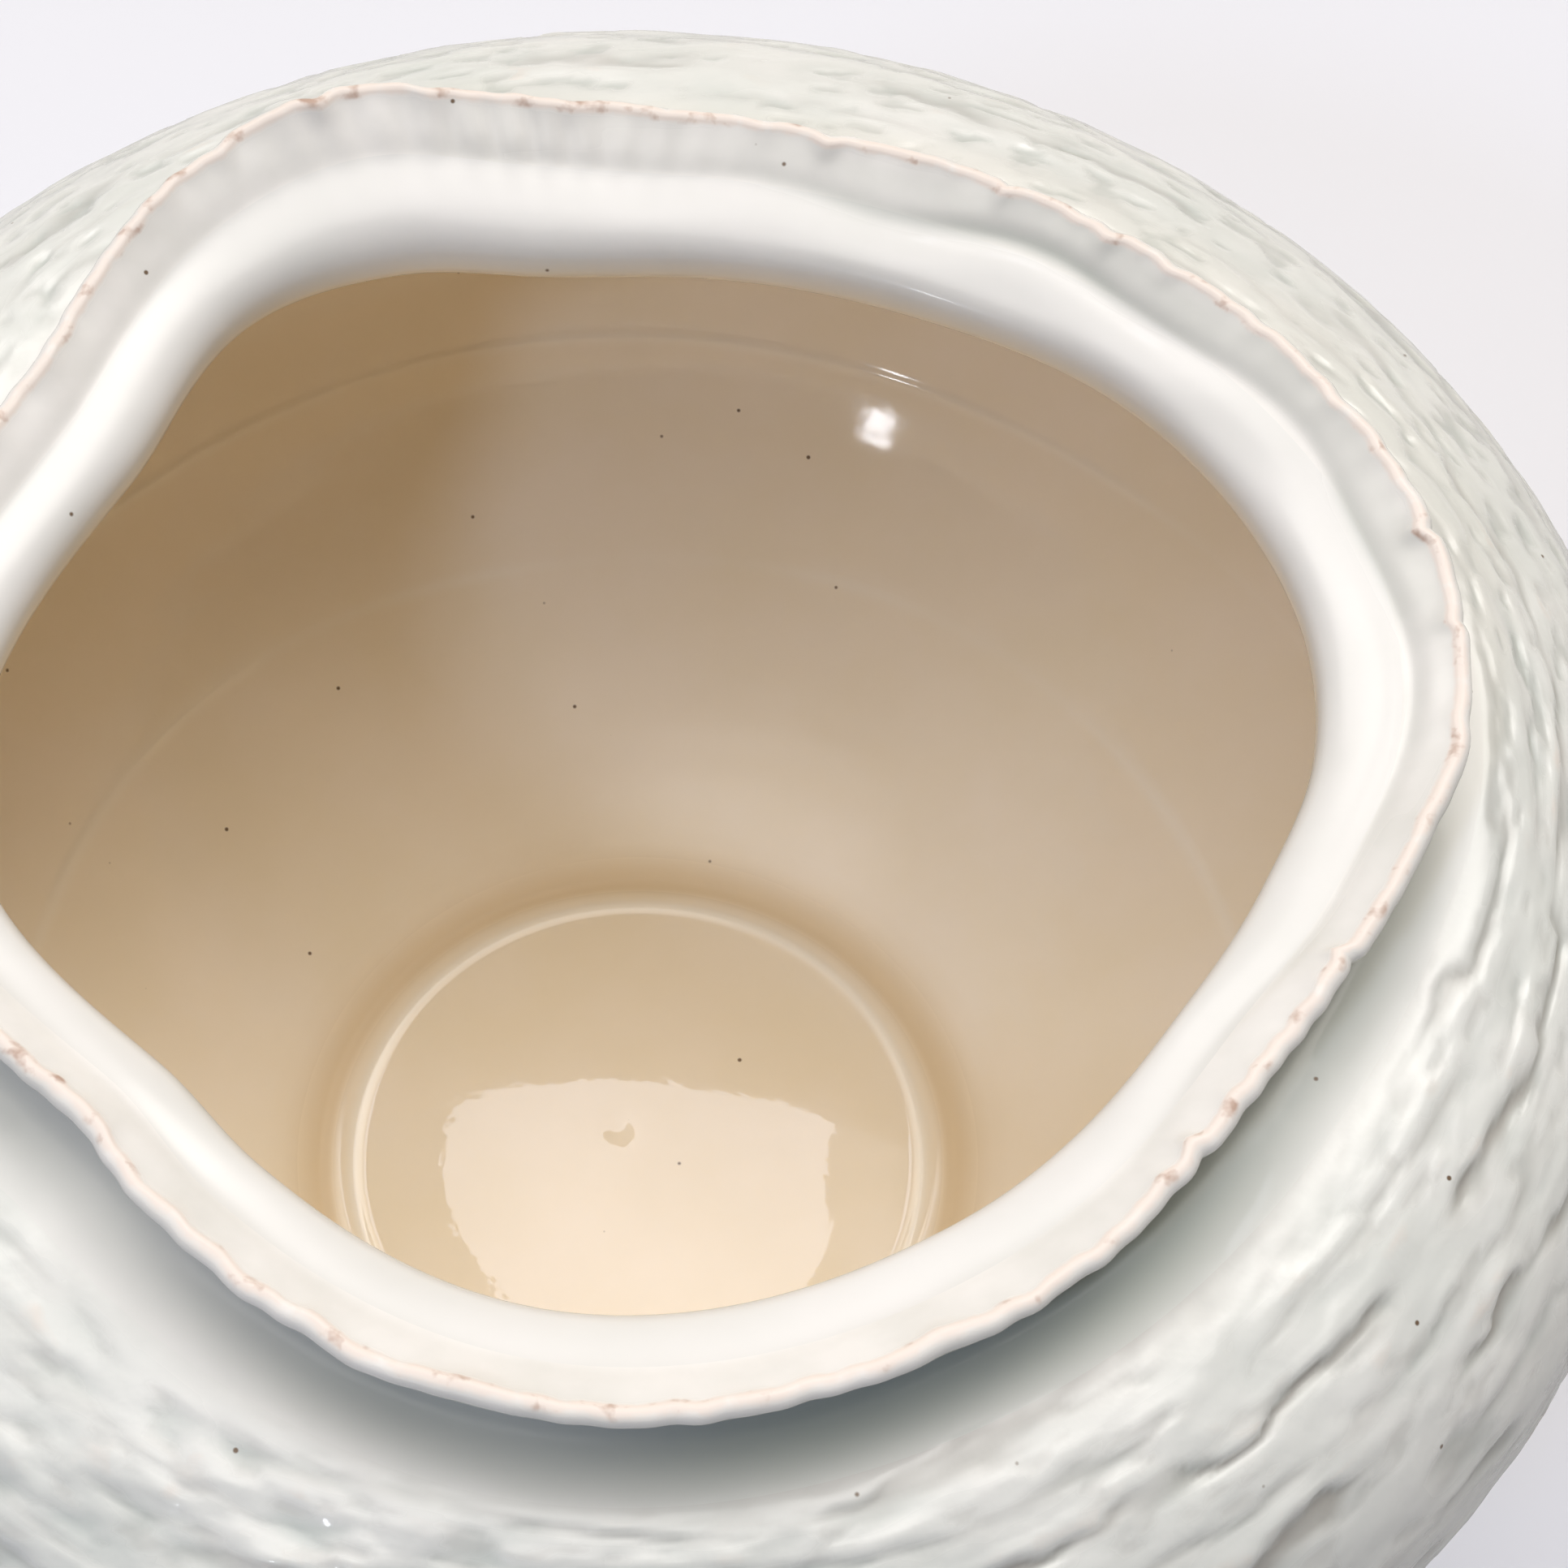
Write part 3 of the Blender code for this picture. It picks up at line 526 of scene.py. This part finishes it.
def barkTree(material):
    tree = bpy.data.node_groups.new("barkRelief", "GeometryNodeTree")
    tree.interface.new_socket("Geometry", in_out="INPUT", socket_type="NodeSocketGeometry")
    for name, value in barkRelief.items():
        tree.interface.new_socket(name, in_out="INPUT", socket_type="NodeSocketFloat").default_value = value
    tree.interface.new_socket("Geometry", in_out="OUTPUT", socket_type="NodeSocketGeometry")
    given = addNode(tree, "NodeGroupInput").outputs
    along, share, pressedIn = (addNode(
        tree, "GeometryNodeInputNamedAttribute", {"Name": name}, data_type="FLOAT")
        for name in ("along", "bark", "pressed"))
    place = addNode(tree, "ShaderNodeSeparateXYZ", {0: addNode(tree, "GeometryNodeInputPosition")}).outputs
    # around and along, so that what is drawn on them is stretched round the pot
    flat = addNode(tree, "ShaderNodeCombineXYZ", {0: place[0], 1: place[1]})
    roundPot = vectorMath(tree, "SCALE", flat, maths(tree, "DIVIDE", 1.0, given["Furrow Length"]))
    count = maths(tree, "DIVIDE", along, given["Furrow Spacing"])
    lift = addNode(tree, "ShaderNodeCombineXYZ", {2: maths(tree, "MULTIPLY", count, cut["rowStep"])})
    sheet = vectorMath(tree, "ADD", roundPot, lift)
    wander = noise(tree, sheet, 1.0, 2.0, cut["wanderRoughness"], given["Seed"])
    kink = noise(tree, sheet, cut["kinkScale"], 1.0, 0.5, given["Seed"])
    wave = maths(tree, "MULTIPLY_ADD", wander, cut["wander"], maths(tree, "MULTIPLY", kink, cut["kink"]))
    phase = maths(tree, "MULTIPLY_ADD", wave, given["Waviness"], count)
    furrow = maths(tree, "ROUND", phase)
    offset = maths(tree, "SUBTRACT", phase, furrow)
    # each furrow is broken into pieces of its own
    ownRow = addNode(tree, "ShaderNodeCombineXYZ", {2: maths(tree, "MULTIPLY", furrow, cut["pieceStep"])})
    ownPlace = vectorMath(tree, "ADD", roundPot, ownRow)
    presence = noise(tree, ownPlace, cut["pieceScale"], 1.0, 0.5, given["Seed"])
    present = ranged(tree, presence, *cut["pieceRange"], kind="SMOOTHSTEP")
    # every second furrow is a faint one
    second = maths(tree, "FLOORED_MODULO", furrow, 2.0)
    strength = maths(tree, "MULTIPLY", present, ranged(tree, second, 0.0, 1.0, given["Faint Share"]))
    # distance from the crease in millimetres: steep towards the rim, gentle towards the foot
    away = maths(tree, "MULTIPLY", offset, maths(tree, "MULTIPLY", given["Furrow Spacing"], 1 / mm))
    above = maths(tree, "GREATER_THAN", away, 0.0)
    width = ranged(tree, above, 0.0, 1.0, cut["footSide"], cut["rimSide"])
    fall = bell(tree, maths(tree, "DIVIDE", away, width), -1.0)
    crest = bell(tree, maths(tree, "SUBTRACT", away, cut["crestAway"]), cut["crestFall"])
    profile = maths(tree, "MULTIPLY_ADD", crest, cut["crestShare"], maths(tree, "MULTIPLY", fall, -1.0))
    # soft lumps, twice as long as they are high
    lumpScale = maths(tree, "DIVIDE", 1.0, given["Lump Size"])
    lumpAt = {axis: maths(tree, "MULTIPLY", place[axis], cut["lumpStretch"]) for axis in (0, 1)}
    lumpWay = addNode(tree, "ShaderNodeCombineXYZ", lumpAt | {2: along})
    lumpPlace = vectorMath(tree, "SCALE", lumpWay, lumpScale)
    lump = noise(tree, lumpPlace, cut["lumpScale"], 3.0, cut["lumpRoughness"], given["Seed"])
    lumpHeight = maths(tree, "MULTIPLY", maths(tree, "SUBTRACT", lump, 0.5),
                       maths(tree, "MULTIPLY", given["Lump Height"], cut["lumpGain"]))
    # the near left was beaten more than it was drawn: bigger lumps, fainter furrows
    leftSide = ranged(tree, maths(tree, "ADD", place[0], place[1]), *cut["leftRange"], kind="SMOOTHSTEP")
    lumpHeight = maths(tree, "MULTIPLY", lumpHeight,
                       maths(tree, "MULTIPLY_ADD", leftSide, given["Left Lumps"], 1.0))
    strength = maths(tree, "MULTIPLY", strength,
                     maths(tree, "MULTIPLY_ADD", leftSide, given["Left Furrows"], 1.0))
    cutHeight = maths(tree, "MULTIPLY", maths(tree, "MULTIPLY", profile, strength), given["Furrow Depth"])
    # short nail-like dashes, deeper on the far side where the furrows are faint
    dashPlace = addNode(tree, "ShaderNodeCombineXYZ", {
        axis: maths(tree, "DIVIDE", way, given[size]) for axis, (way, size) in enumerate((
            (place[0], "Dash Length"), (place[1], "Dash Length"), (along, "Dash Width")))})
    dash = noise(tree, dashPlace, cut["dashScale"], 1.0, cut["dashRoughness"], given["Seed"])
    dashed = ranged(tree, dash, *cut["dashRange"], kind="SMOOTHSTEP")
    farSide = ranged(tree, place[1], *cut["farRange"], cut["nearDashes"], kind="SMOOTHSTEP")
    dashHeight = maths(tree, "MULTIPLY", maths(tree, "MULTIPLY", dashed, farSide), given["Dash Depth"])
    nearSide = ranged(tree, farSide, cut["nearDashes"], 1.0, 1.0, cut["farFurrows"])
    furrows = maths(tree, "MULTIPLY", cutHeight, nearSide)
    uneven = maths(tree, "SUBTRACT", lumpHeight, dashHeight)
    relief = maths(tree, "MULTIPLY", maths(tree, "ADD", furrows, uneven), share)
    total = maths(tree, "ADD", relief, pressedIn)
    outwards = vectorMath(tree, "SCALE", addNode(tree, "GeometryNodeInputNormal"), total)
    stored = addNode(tree, "GeometryNodeSetPosition", {"Geometry": given["Geometry"], "Offset": outwards})
    # painted shade: the crease beside each furrow and the nail-like dashes are darkened in colour, stored in
    # the crease attribute
    lineShare = maths(tree, "MULTIPLY", maths(tree, "MULTIPLY", fall, strength), nearSide)
    lines = maths(tree, "MAXIMUM", lineShare, maths(tree, "MULTIPLY", dashed, cut["dashShade"]))
    for name, value in (("relief", maths(tree, "MULTIPLY", relief, 1 / mm)),
                        ("crease", maths(tree, "MULTIPLY", lines, share))):
        stored = addNode(tree, "GeometryNodeStoreNamedAttribute", {
            "Geometry": stored, "Name": name, "Value": value}, data_type="FLOAT", domain="POINT")
    solid = addNode(tree, "GeometryNodeRealizeInstances", {"Geometry": stored})
    finished = addNode(tree, "GeometryNodeSetMaterial", {"Geometry": solid, "Material": material})
    addNode(tree, "NodeGroupOutput", {"Geometry": finished})
    return tree


def ringFaces(ringCount, closed):  # quads between neighbouring rings, facing out of the clay
    ring = np.arange(ringCount if closed else ringCount - 1)[:, None]
    column = np.arange(columns)[None, :]
    nextRing, nextColumn = (ring + 1) % ringCount, (column + 1) % columns
    corners = [ring * columns + column, ring * columns + nextColumn,
               nextRing * columns + nextColumn, nextRing * columns + column]
    return np.stack(corners, -1).reshape(-1, 4)


def meshOf(name, points, faces):
    mesh = bpy.data.meshes.new(name)
    mesh.vertices.add(len(points))
    mesh.vertices.foreach_set("co", np.asarray(points, dtype=np.float32).ravel())
    corners = np.concatenate([np.asarray(face).ravel() for face in faces])
    sizes = np.concatenate([np.full(len(face), face.shape[1]) for face in faces])
    mesh.loops.add(len(corners))
    mesh.loops.foreach_set("vertex_index", corners.astype(np.int32))
    mesh.polygons.add(len(sizes))
    mesh.polygons.foreach_set("loop_start", (np.cumsum(sizes) - sizes).astype(np.int32))
    mesh.update(calc_edges=True)
    mesh.shade_smooth()
    return mesh


def setField(mesh, name, values):
    field = mesh.attributes.new(name, "FLOAT", "POINT")
    field.data.foreach_set("value", np.ascontiguousarray(values, dtype=np.float32).ravel())


def getField(mesh, name, width=1):
    values = np.empty(len(mesh.vertices) * width, dtype=np.float32)
    mesh.attributes[name].data.foreach_get("vector" if width == 3 else "value", values)
    return values.reshape(len(rows), columns, width)


def newObject(name, data):
    made = bpy.data.objects.new(name, data)
    bpy.context.collection.objects.link(made)
    return made


print("bark tools ready")


# colours are sRGB hex, turned to linear

def linear(hexColour):
    values = [int(hexColour[n:n + 2], 16) / 255 for n in (1, 3, 5)]
    return tuple(v / 12.92 if v <= 0.04045 else ((v + 0.055) / 1.055) ** 2.4 for v in values) + (1,)


# every glaze here is one recipe with its own amounts: a colour that thins on crests and pools in
# creases, painted shade along creases, a painted highlight on the floor's ring, brown iron specks, and a skin
# that is never quite even

recipe = {  # ranges of noise or of relief in millimetres over which each effect comes in
    "cloud": (0.35, 0.65), "cloudRoughness": 0.55, "hollow": (0.05, -0.7), "crest": (0.15, 0.75),
    "patches": (0.48, 0.66), "fraySize": 3.5 * mm, "torn": (0.12, 0.42), "grit": (0.57, 0.72),
    "speck": (0.42 * mm, 0.22 * mm), "tornRoughness": 0.62,
}


def glaze(name, look):
    material = bpy.data.materials.new(name)
    material.use_nodes = True
    tree = material.node_tree
    shader = tree.nodes["Principled BSDF"]
    place = addNode(tree, "ShaderNodeTexCoord").outputs["Object"]
    relief, crease, inside, torn, ring = (
        addNode(tree, "ShaderNodeAttribute", attribute_name=name).outputs["Fac"]
        for name in ("relief", "crease", "inside", "torn", "ring"))
    # thick and thin glaze in broad clouds, the white one giving way to the cream one inside
    cloud = noise(tree, place, 1 / look["cloudSize"], 4.0, recipe["cloudRoughness"])
    cloudShare = ranged(tree, cloud, *recipe["cloud"])
    body, deepBody = (blend(tree, cloudShare, look[thin], look[thick])
                      for thin, thick in (("thin", "thick"), ("deepThin", "deepThick")))
    deep = blend(tree, inside, body, deepBody)
    # pooled in the creases and worn thin on the crests; the crease colour is painted shade on the furrow
    # lines, the floor's corner, the step line and the groove under the lip, and greys the torn strip
    hollowShare = ranged(tree, relief, *recipe["hollow"], kind="SMOOTHSTEP")
    hollowed = blend(tree, hollowShare, deep, look["pool"])
    lined = blend(tree, maths(tree, "MULTIPLY", crease, look["creaseShare"]), hollowed, look["crease"])
    patches = noise(tree, place, 1 / look["crestSize"], 2.0)
    crestShare = maths(tree, "MULTIPLY", ranged(tree, relief, *recipe["crest"]),
                       ranged(tree, patches, *recipe["patches"]))
    crested = blend(tree, crestShare, lined, look["crest"])
    # clay shows through at the torn edge, in a broken line
    fray = noise(tree, place, 1 / recipe["fraySize"], 3.0)
    tornShare = ranged(tree, maths(tree, "MULTIPLY", torn, fray), *recipe["torn"], kind="SMOOTHSTEP")
    clay = blend(tree, ranged(tree, fray, *recipe["grit"]), look["clay"], look["grit"])
    frayed = blend(tree, tornShare, crested, clay)
    # painted highlight: the floor's ring is painted paler, and the inner wall's ridges get paler painted
    # reflection lines
    edged = blend(tree, ring, frayed, look["ring"])
    # iron specks of 0.5 to 0.9 mm
    cells = addNode(tree, "ShaderNodeTexVoronoi", {"Vector": place, "Scale": 1 / look["speckGap"]})
    speck = ranged(tree, cells.outputs["Distance"], *(size / look["speckGap"] for size in recipe["speck"]))
    tree.links.new(blend(tree, speck, edged, look["iron"]), shader.inputs["Base Color"])
    smooth = ranged(tree, inside, 0.0, 1.0, look["roughness"], look["deepRoughness"])
    smooth = ranged(tree, crease, 0.0, 1.0, smooth, look["creaseRoughness"])
    gloss = ranged(tree, tornShare, 0.0, 1.0, smooth, recipe["tornRoughness"])
    tree.links.new(gloss.outputs[0], shader.inputs["Roughness"])
    shader.inputs["IOR"].default_value = look["ior"]
    shader.inputs["Coat Weight"].default_value = look["coat"]
    shader.inputs["Coat Roughness"].default_value = look["coatRoughness"]
    # orange-peel of the fired glaze, and pinholes too fine to model
    peel = noise(tree, place, 1 / look["peelSize"], 2.0)
    skinBump = addNode(tree, "ShaderNodeBump", {
        "Height": peel, "Strength": look["peelStrength"], "Distance": look["peelHeight"]})
    tree.links.new(skinBump.outputs[0], shader.inputs["Normal"])
    return material


# stoneware under a dipped white glaze, semi-gloss: grey-green where it pools between the ridges
whiteBark = {
    "thin": "#f0efea", "thick": "#e7e8e2", "deepThin": "#fbeeda", "deepThick": "#f8ead1",
    # painted shade: this crease colour darkens the furrow lines and the dashes
    "pool": "#d3d8d2", "crease": "#a69c93", "creaseShare": 0.7, "crest": "#ecd3c2", "clay": "#f2e5db",
    "grit": "#c2a594",
    # painted highlight: the ring colour lightens the floor's ring and the ridges of the inner wall
    "ring": "#fff7e8", "iron": "#7a6450", "cloudSize": 30 * mm, "crestSize": 7 * mm, "speckGap": 11 * mm,
    "roughness": 0.26, "deepRoughness": 0.08, "creaseRoughness": 0.45, "ior": 1.5, "coat": 0.5,
    "coatRoughness": 0.06, "peelSize": 3.2 * mm, "peelHeight": 0.25 * mm, "peelStrength": 0.45,
}
# the same glaze rubbed thin and smooth over the neck and mouth, satin: a warm white
satinNeck = whiteBark | {
    "thin": "#efece8", "thick": "#e9e7e2", "pool": "#dcdeda", "crest": "#f3ede6",
    # painted shade: this crease colour darkens the groove under the lip and the step line, and greys the torn
    # strip
    "crease": "#b9beb4","creaseShare": 0.8, "peelSize": 5.0 * mm, "peelStrength": 0.20, "coat": 0.25,
}
# stoneware strip torn by hand: thin glaze that breaks to pinkish clay along the edge
tornStrip = satinNeck | {"thin": "#f5f1ec", "thick": "#ebe8e2", "cloudSize": 14 * mm}
# cream liner glaze poured round the inside, glossy: it shows the throwing rings in its shine
creamLiner = satinNeck | {
    "thin": "#fbeeda", "thick": "#f8ead1", "pool": "#ead8b8", "crest": "#fbeeda", "roughness": 0.08,
    # painted shade: this crease colour darkens the corner where the wall meets the floor
    "crease": "#dcc298", "coat": 0.0, "speckGap": 9 * mm, "peelStrength": 0.12, "peelSize": 6 * mm,
}
# the liner where it ran together on the floor: thick, warm and as smooth as glass
pooledFloor = creamLiner | {
    "thin": "#fff3df", "thick": "#fdf0d7", "roughness": 0.02, "deepRoughness": 0.02,
    "peelStrength": 0.07, "peelSize": 5 * mm,
}
# fired clay with no glaze, wiped clean where the foot stood in the kiln: matt and sandy
bareClay = whiteBark | {
    "thin": "#cdb9a3", "thick": "#c1ab93", "pool": "#b39c85", "crest": "#cdb9a3", "roughness": 0.75,
    "coat": 0.0, "peelSize": 0.9 * mm, "peelStrength": 0.6, "speckGap": 5 * mm,
}
glazes = {
    "bark": glaze("whiteBarkGlazeOnStoneware", whiteBark),
    "satin": glaze("satinWhiteGlazeOnStoneware", satinNeck),
    "torn": glaze("tornStonewareEdge", tornStrip),
    "liner": glaze("pouredCreamLinerGlaze", creamLiner),
    "pool": glaze("pooledCreamFloorGlaze", pooledFloor),
    "bare": glaze("bareFootClay", bareClay),
}
print("glazes mixed:", len(glazes))


# raise the bark on the whole skin at once, so that it runs on across the seams

everyColumn = np.ones(columns)


def ringAt(across, up):
    return np.stack([across * np.cos(angle), across * np.sin(angle), up * everyColumn], -1)


skinMesh = meshOf("skin", ringAt(radius, height).reshape(-1, 3), [ringFaces(len(rows), False)])
setField(skinMesh, "along", np.outer(rowLength, everyColumn))
setField(skinMesh, "bark", np.outer(bark, everyColumn))
setField(skinMesh, "pressed", pressed)
skinObject = newObject("skin", skinMesh)
modifier = skinObject.modifiers.new("barkRelief", "NODES")
modifier.node_group = barkTree(glazes["bark"])
for item in modifier.node_group.interface.items_tree:
    if item.in_out == "INPUT" and item.name in barkRelief:
        modifier[item.identifier] = barkRelief[item.name]
skinObject.update_tag()
evaluated = skinObject.evaluated_get(bpy.context.evaluated_depsgraph_get())
raised = bpy.data.meshes.new_from_object(evaluated)
skinObject.modifiers.remove(modifier)
skinPoints = getField(raised, "position", 3)
reliefField = getField(raised, "relief")
# the crease field adds the painted shade of the floor's corner, the step line and the groove, and the strip's
# grey
creaseField = getField(raised, "crease") + cornerShade[:, None, None] + stripGreyAndShade[:, :, None]
skinNormals = np.empty(len(raised.vertices) * 3, dtype=np.float32)
raised.vertex_normals.foreach_get("vector", skinNormals)
skinNormals = skinNormals.reshape(skinPoints.shape)
bpy.data.objects.remove(skinObject)
print("bark raised, relief from %.2f to %.2f mm" % (reliefField.min(), reliefField.max()))


# cut the skin into the pieces that the vase was made of; each is closed by its own hidden faces

def skinRings(name, finish):
    first, last = span[name]
    return [("skin", row, finish) for row in range(first, last + 1)]


def hiddenRings(places, finish):
    return [("hidden", ringAt(*place), finish) for place in places]


def keyRing(below, above, finish):  # the ridge of the piece below, and the groove of the piece above
    outside, inside = skinPoints[below[1]], skinPoints[above[1]]
    outR, inR = np.hypot(*outside[:, :2].T), np.hypot(*inside[:, :2].T)
    tipR = (outR + inR) / 2 + form["keyShare"] * (inside[:, 2] - outside[:, 2])
    tipZ = (outside[:, 2] + inside[:, 2]) / 2 - form["keyShare"] * (inR - outR)
    return [("hidden", ringAt(tipR, tipZ), finish)]


def makePiece(name, node, rings, finishes, poles=()):
    blank = np.zeros((columns, 1))
    known = {"relief": reliefField, "crease": creaseField, "inside": inside, "torn": tornShare,
             "ring": ringHighlightField}
    parts, normals, fields, rowFinish = [], [], {key: [] for key in known}, []
    for kind, source, finish in rings:
        isSkin = kind == "skin"
        parts.append(skinPoints[source] if isSkin else source)
        normals.append(skinNormals[source] if isSkin else np.zeros((columns, 3)))
        for key, values in known.items():
            fields[key].append(blank + (values[source] if isSkin else 0))
        rowFinish.append(finish)
    faces = [ringFaces(len(parts), not poles)]
    faceFinish = np.repeat([finishes.index(n) for n in rowFinish][:len(faces[0]) // columns], columns)
    if poles:
        column = np.arange(columns)
        firstPole, lastPole = len(parts) * columns, len(parts) * columns + 1
        lastRing = (len(parts) - 1) * columns
        faces.append(np.stack([np.full(columns, firstPole), (column + 1) % columns, column], -1))
        faces.append(np.stack([np.full(columns, lastPole), lastRing + column,
                               lastRing + (column + 1) % columns], -1))
        capFinish = [finishes.index(rowFinish[0])] * columns + [finishes.index(rowFinish[-1])] * columns
        faceFinish = np.concatenate([faceFinish, capFinish])
        parts.append(np.array(poles))
        normals.append(np.zeros((2, 3)))
        for key, values in fields.items():
            values.append(np.array([values[0].mean(), values[-1].mean()])[:, None])
    mesh = meshOf(name, np.concatenate(parts), faces)
    for key, values in fields.items():
        setField(mesh, key, np.concatenate(values))
    for finish in finishes:
        mesh.materials.append(glazes[finish])
    mesh.polygons.foreach_set("material_index", np.asarray(faceFinish, dtype=np.int32))
    mesh.normals_split_custom_set_from_vertices(np.concatenate(normals))
    made = newObject(name, mesh)
    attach(made, "root")
    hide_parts(node)
    print("made", name, len(mesh.polygons) * 2, "triangles")


def bandPiece(name, node, outside, within, finishes):  # closed by its ridge above and groove below
    outRings, inRings = skinRings(outside, finishes[0]), skinRings(within, finishes[-1])
    rings = outRings + keyRing(outRings[-1], inRings[0], finishes[-1]) + inRings
    makePiece(name, node, rings + keyRing(outRings[0], inRings[-1], finishes[0]), finishes)


hiddenTop = form["pedestalHeight"]
besideCoil = [*pedestal[pedestal[:, 1] > coilFoot][::40][:-1], (form["pedestalTop"], hiddenTop)]
pedestalRings = (skinRings("hollow", "bare") + skinRings("foot", "bare")[1:4] + skinRings("foot", "bark")[4:]
                 + skinRings("pedestal", "bark")[1:] + hiddenRings(besideCoil, "bare"))
makePiece("pedestal", "pedestal", pedestalRings, ["bark", "bare"])
makePiece("jointCoil", "joint_coil",
          skinRings("coil", "bark") + hiddenRings(besideCoil[::-1], "bark"), ["bark"])
slabOut, slabIn = skinRings("slabEdge", "bark"), skinRings("floor", "pool")
underside = (skin["centre"], 0.5 * form["pedestalTop"], form["pedestalTop"] - form["pedestalWall"])
slabRings = hiddenRings([(across, hiddenTop) for across in underside], "bare")
slabRings = slabRings + slabOut + keyRing(slabOut[-1], slabIn[0], "bark") + slabIn
makePiece("floorSlab", "floor_slab", slabRings, ["bark", "pool", "bare"],
          poles=((0, 0, hiddenTop), (0, 0, skinPoints[-1, :, 2].mean())))
bandPiece("lowerWall", "lower_wall", "lowerOut", "lowerIn", ["bark", "liner"])
bandPiece("bellyBand", "belly_band", "bellyOut", "bellyIn", ["bark", "liner"])
bandPiece("shoulderBand", "shoulder_band", "shoulderOut", "shoulderIn", ["bark", "liner"])
bandPiece("neckCollar", "neck_collar", "collarOut", "collarIn", ["satin"])
stripRings = skinRings("stripOut", "torn") + skinRings("tip", "torn")[1:-1] + skinRings("stripIn", "torn")
makePiece("rimStrip", "rim_strip",
          stripRings + keyRing(stripRings[0], stripRings[-1], "torn"), ["torn"])


# a pale floor and plain soft studio light

studio = {
    "floorColour": "#e7e7ed", "floorBounce": "#bdbdbf", "floorReach": 6.0, "floorRoughness": 0.9,
    "airColour": "#fffbf6", "air": 0.03, "backdrop": 0.86,
    # each soft patch of light overhead: turn, rise, how far it reaches in degrees, strength at its middle
    "glows": ((105, 75, 55, 0.15), (135, 50, 24, 3.4), (30, 75, 24, 2.9), (60, 50, 24, 4.9),
              (225, 75, 24, 1.8), (190, 45, 30, 0.6)),
    # size, distance, turn, rise, power, colour, seen by matt surfaces, seen by shiny ones
    "lamps": {
        "backSoftbox": (0.14, 1.5, 94, 64, 0.20, "#e9efff", True, True),
        "frontSoftbox": (0.22, 1.8, 240, 46, 5.4, "#c4daff", True, False),
        "frontSparkle": (0.12, 1.8, 245, 25, 1.00, "#f3f6ff", False, True),
    },
}


def floorPlane():
    reach = studio["floorReach"]
    corners = np.array([(-reach, -reach, 0), (reach, -reach, 0), (reach, reach, 0), (-reach, reach, 0)])
    mesh = meshOf("floor", corners, [np.array([[0, 1, 2, 3]])])
    material = bpy.data.materials.new("paleStudioPaper")
    material.use_nodes = True
    shader = material.node_tree.nodes["Principled BSDF"]
    seen = addNode(material.node_tree, "ShaderNodeLightPath").outputs["Is Camera Ray"]
    colour = blend(material.node_tree, seen, studio["floorBounce"], studio["floorColour"])
    material.node_tree.links.new(colour, shader.inputs["Base Color"])
    shader.inputs["Roughness"].default_value = studio["floorRoughness"]
    mesh.materials.append(material)
    made = newObject("floor", mesh)


def direction(turn, rise):
    turn, rise = math.radians(turn), math.radians(rise)
    return Vector((math.cos(rise) * math.cos(turn), math.cos(rise) * math.sin(turn), math.sin(rise)))


def softbox(name, size, distance, turn, rise, power, colour, onMatt, onShiny):
    lamp = bpy.data.lights.new(name, "AREA")
    lamp.shape, lamp.size, lamp.energy = "DISK", size, power
    lamp.color = linear(colour)[:3]
    made = newObject(name, lamp)
    way = direction(turn, rise)
    made.location = Vector((0, 0, bellyHeight)) + distance * way
    made.rotation_euler = way.to_track_quat("Z", "Y").to_euler()
    made.visible_camera, made.visible_diffuse, made.visible_glossy = False, onMatt, onShiny


def studioAir():  # a dim room with soft white lights overhead, seen as a pale backdrop
    world = bpy.data.worlds.new("studioAir")
    world.use_nodes = True
    tree = world.node_tree
    way = addNode(tree, "ShaderNodeTexCoord").outputs["Generated"]
    air = studio["air"]
    for turn, rise, reach, strength in studio["glows"]:
        toGlow = vectorMath(tree, "DOT_PRODUCT", way, direction(turn, rise)).outputs["Value"]
        edge = math.cos(math.radians(reach))
        air = maths(tree, "ADD", air, ranged(tree, toGlow, edge, 1.0, 0.0, strength, "SMOOTHSTEP"))
    seen = addNode(tree, "ShaderNodeMix", {
        "Factor": addNode(tree, "ShaderNodeLightPath").outputs["Is Camera Ray"], "A": air,
        "B": studio["backdrop"]}, data_type="FLOAT")
    background = tree.nodes["Background"]
    background.inputs["Color"].default_value = linear(studio["airColour"])
    tree.links.new(seen.outputs[0], background.inputs["Strength"])
    bpy.context.scene.world = world


floorPlane()
for name, lamp in studio["lamps"].items():
    softbox(name, *lamp)
studioAir()
bpy.context.scene.view_settings.view_transform = "Standard"


# the camera stands in front and looks steeply down into the mouth

view = {"place": (0.01857, -0.2739, 0.64315), "pitch": 58, "roll": -4, "lens": 90, "sensor": 36}
pitchNow, rollNow = math.radians(view["pitch"]), math.radians(view["roll"])
right = Vector((1, 0, 0))
down = Vector((0, -math.sin(pitchNow), -math.cos(pitchNow)))
forward = Vector((0, math.cos(pitchNow), -math.sin(pitchNow)))
across = math.cos(rollNow) * right + math.sin(rollNow) * down
upright = math.sin(rollNow) * right - math.cos(rollNow) * down
camera = bpy.data.cameras.new("camera")
camera.lens, camera.sensor_width = view["lens"], view["sensor"]
cameraObject = newObject("camera", camera)
cameraObject.matrix_world = Matrix.Translation(view["place"]) @ Matrix(
    (across, upright, -forward)).transposed().to_4x4()
bpy.context.scene.camera = cameraObject
print("studio ready")
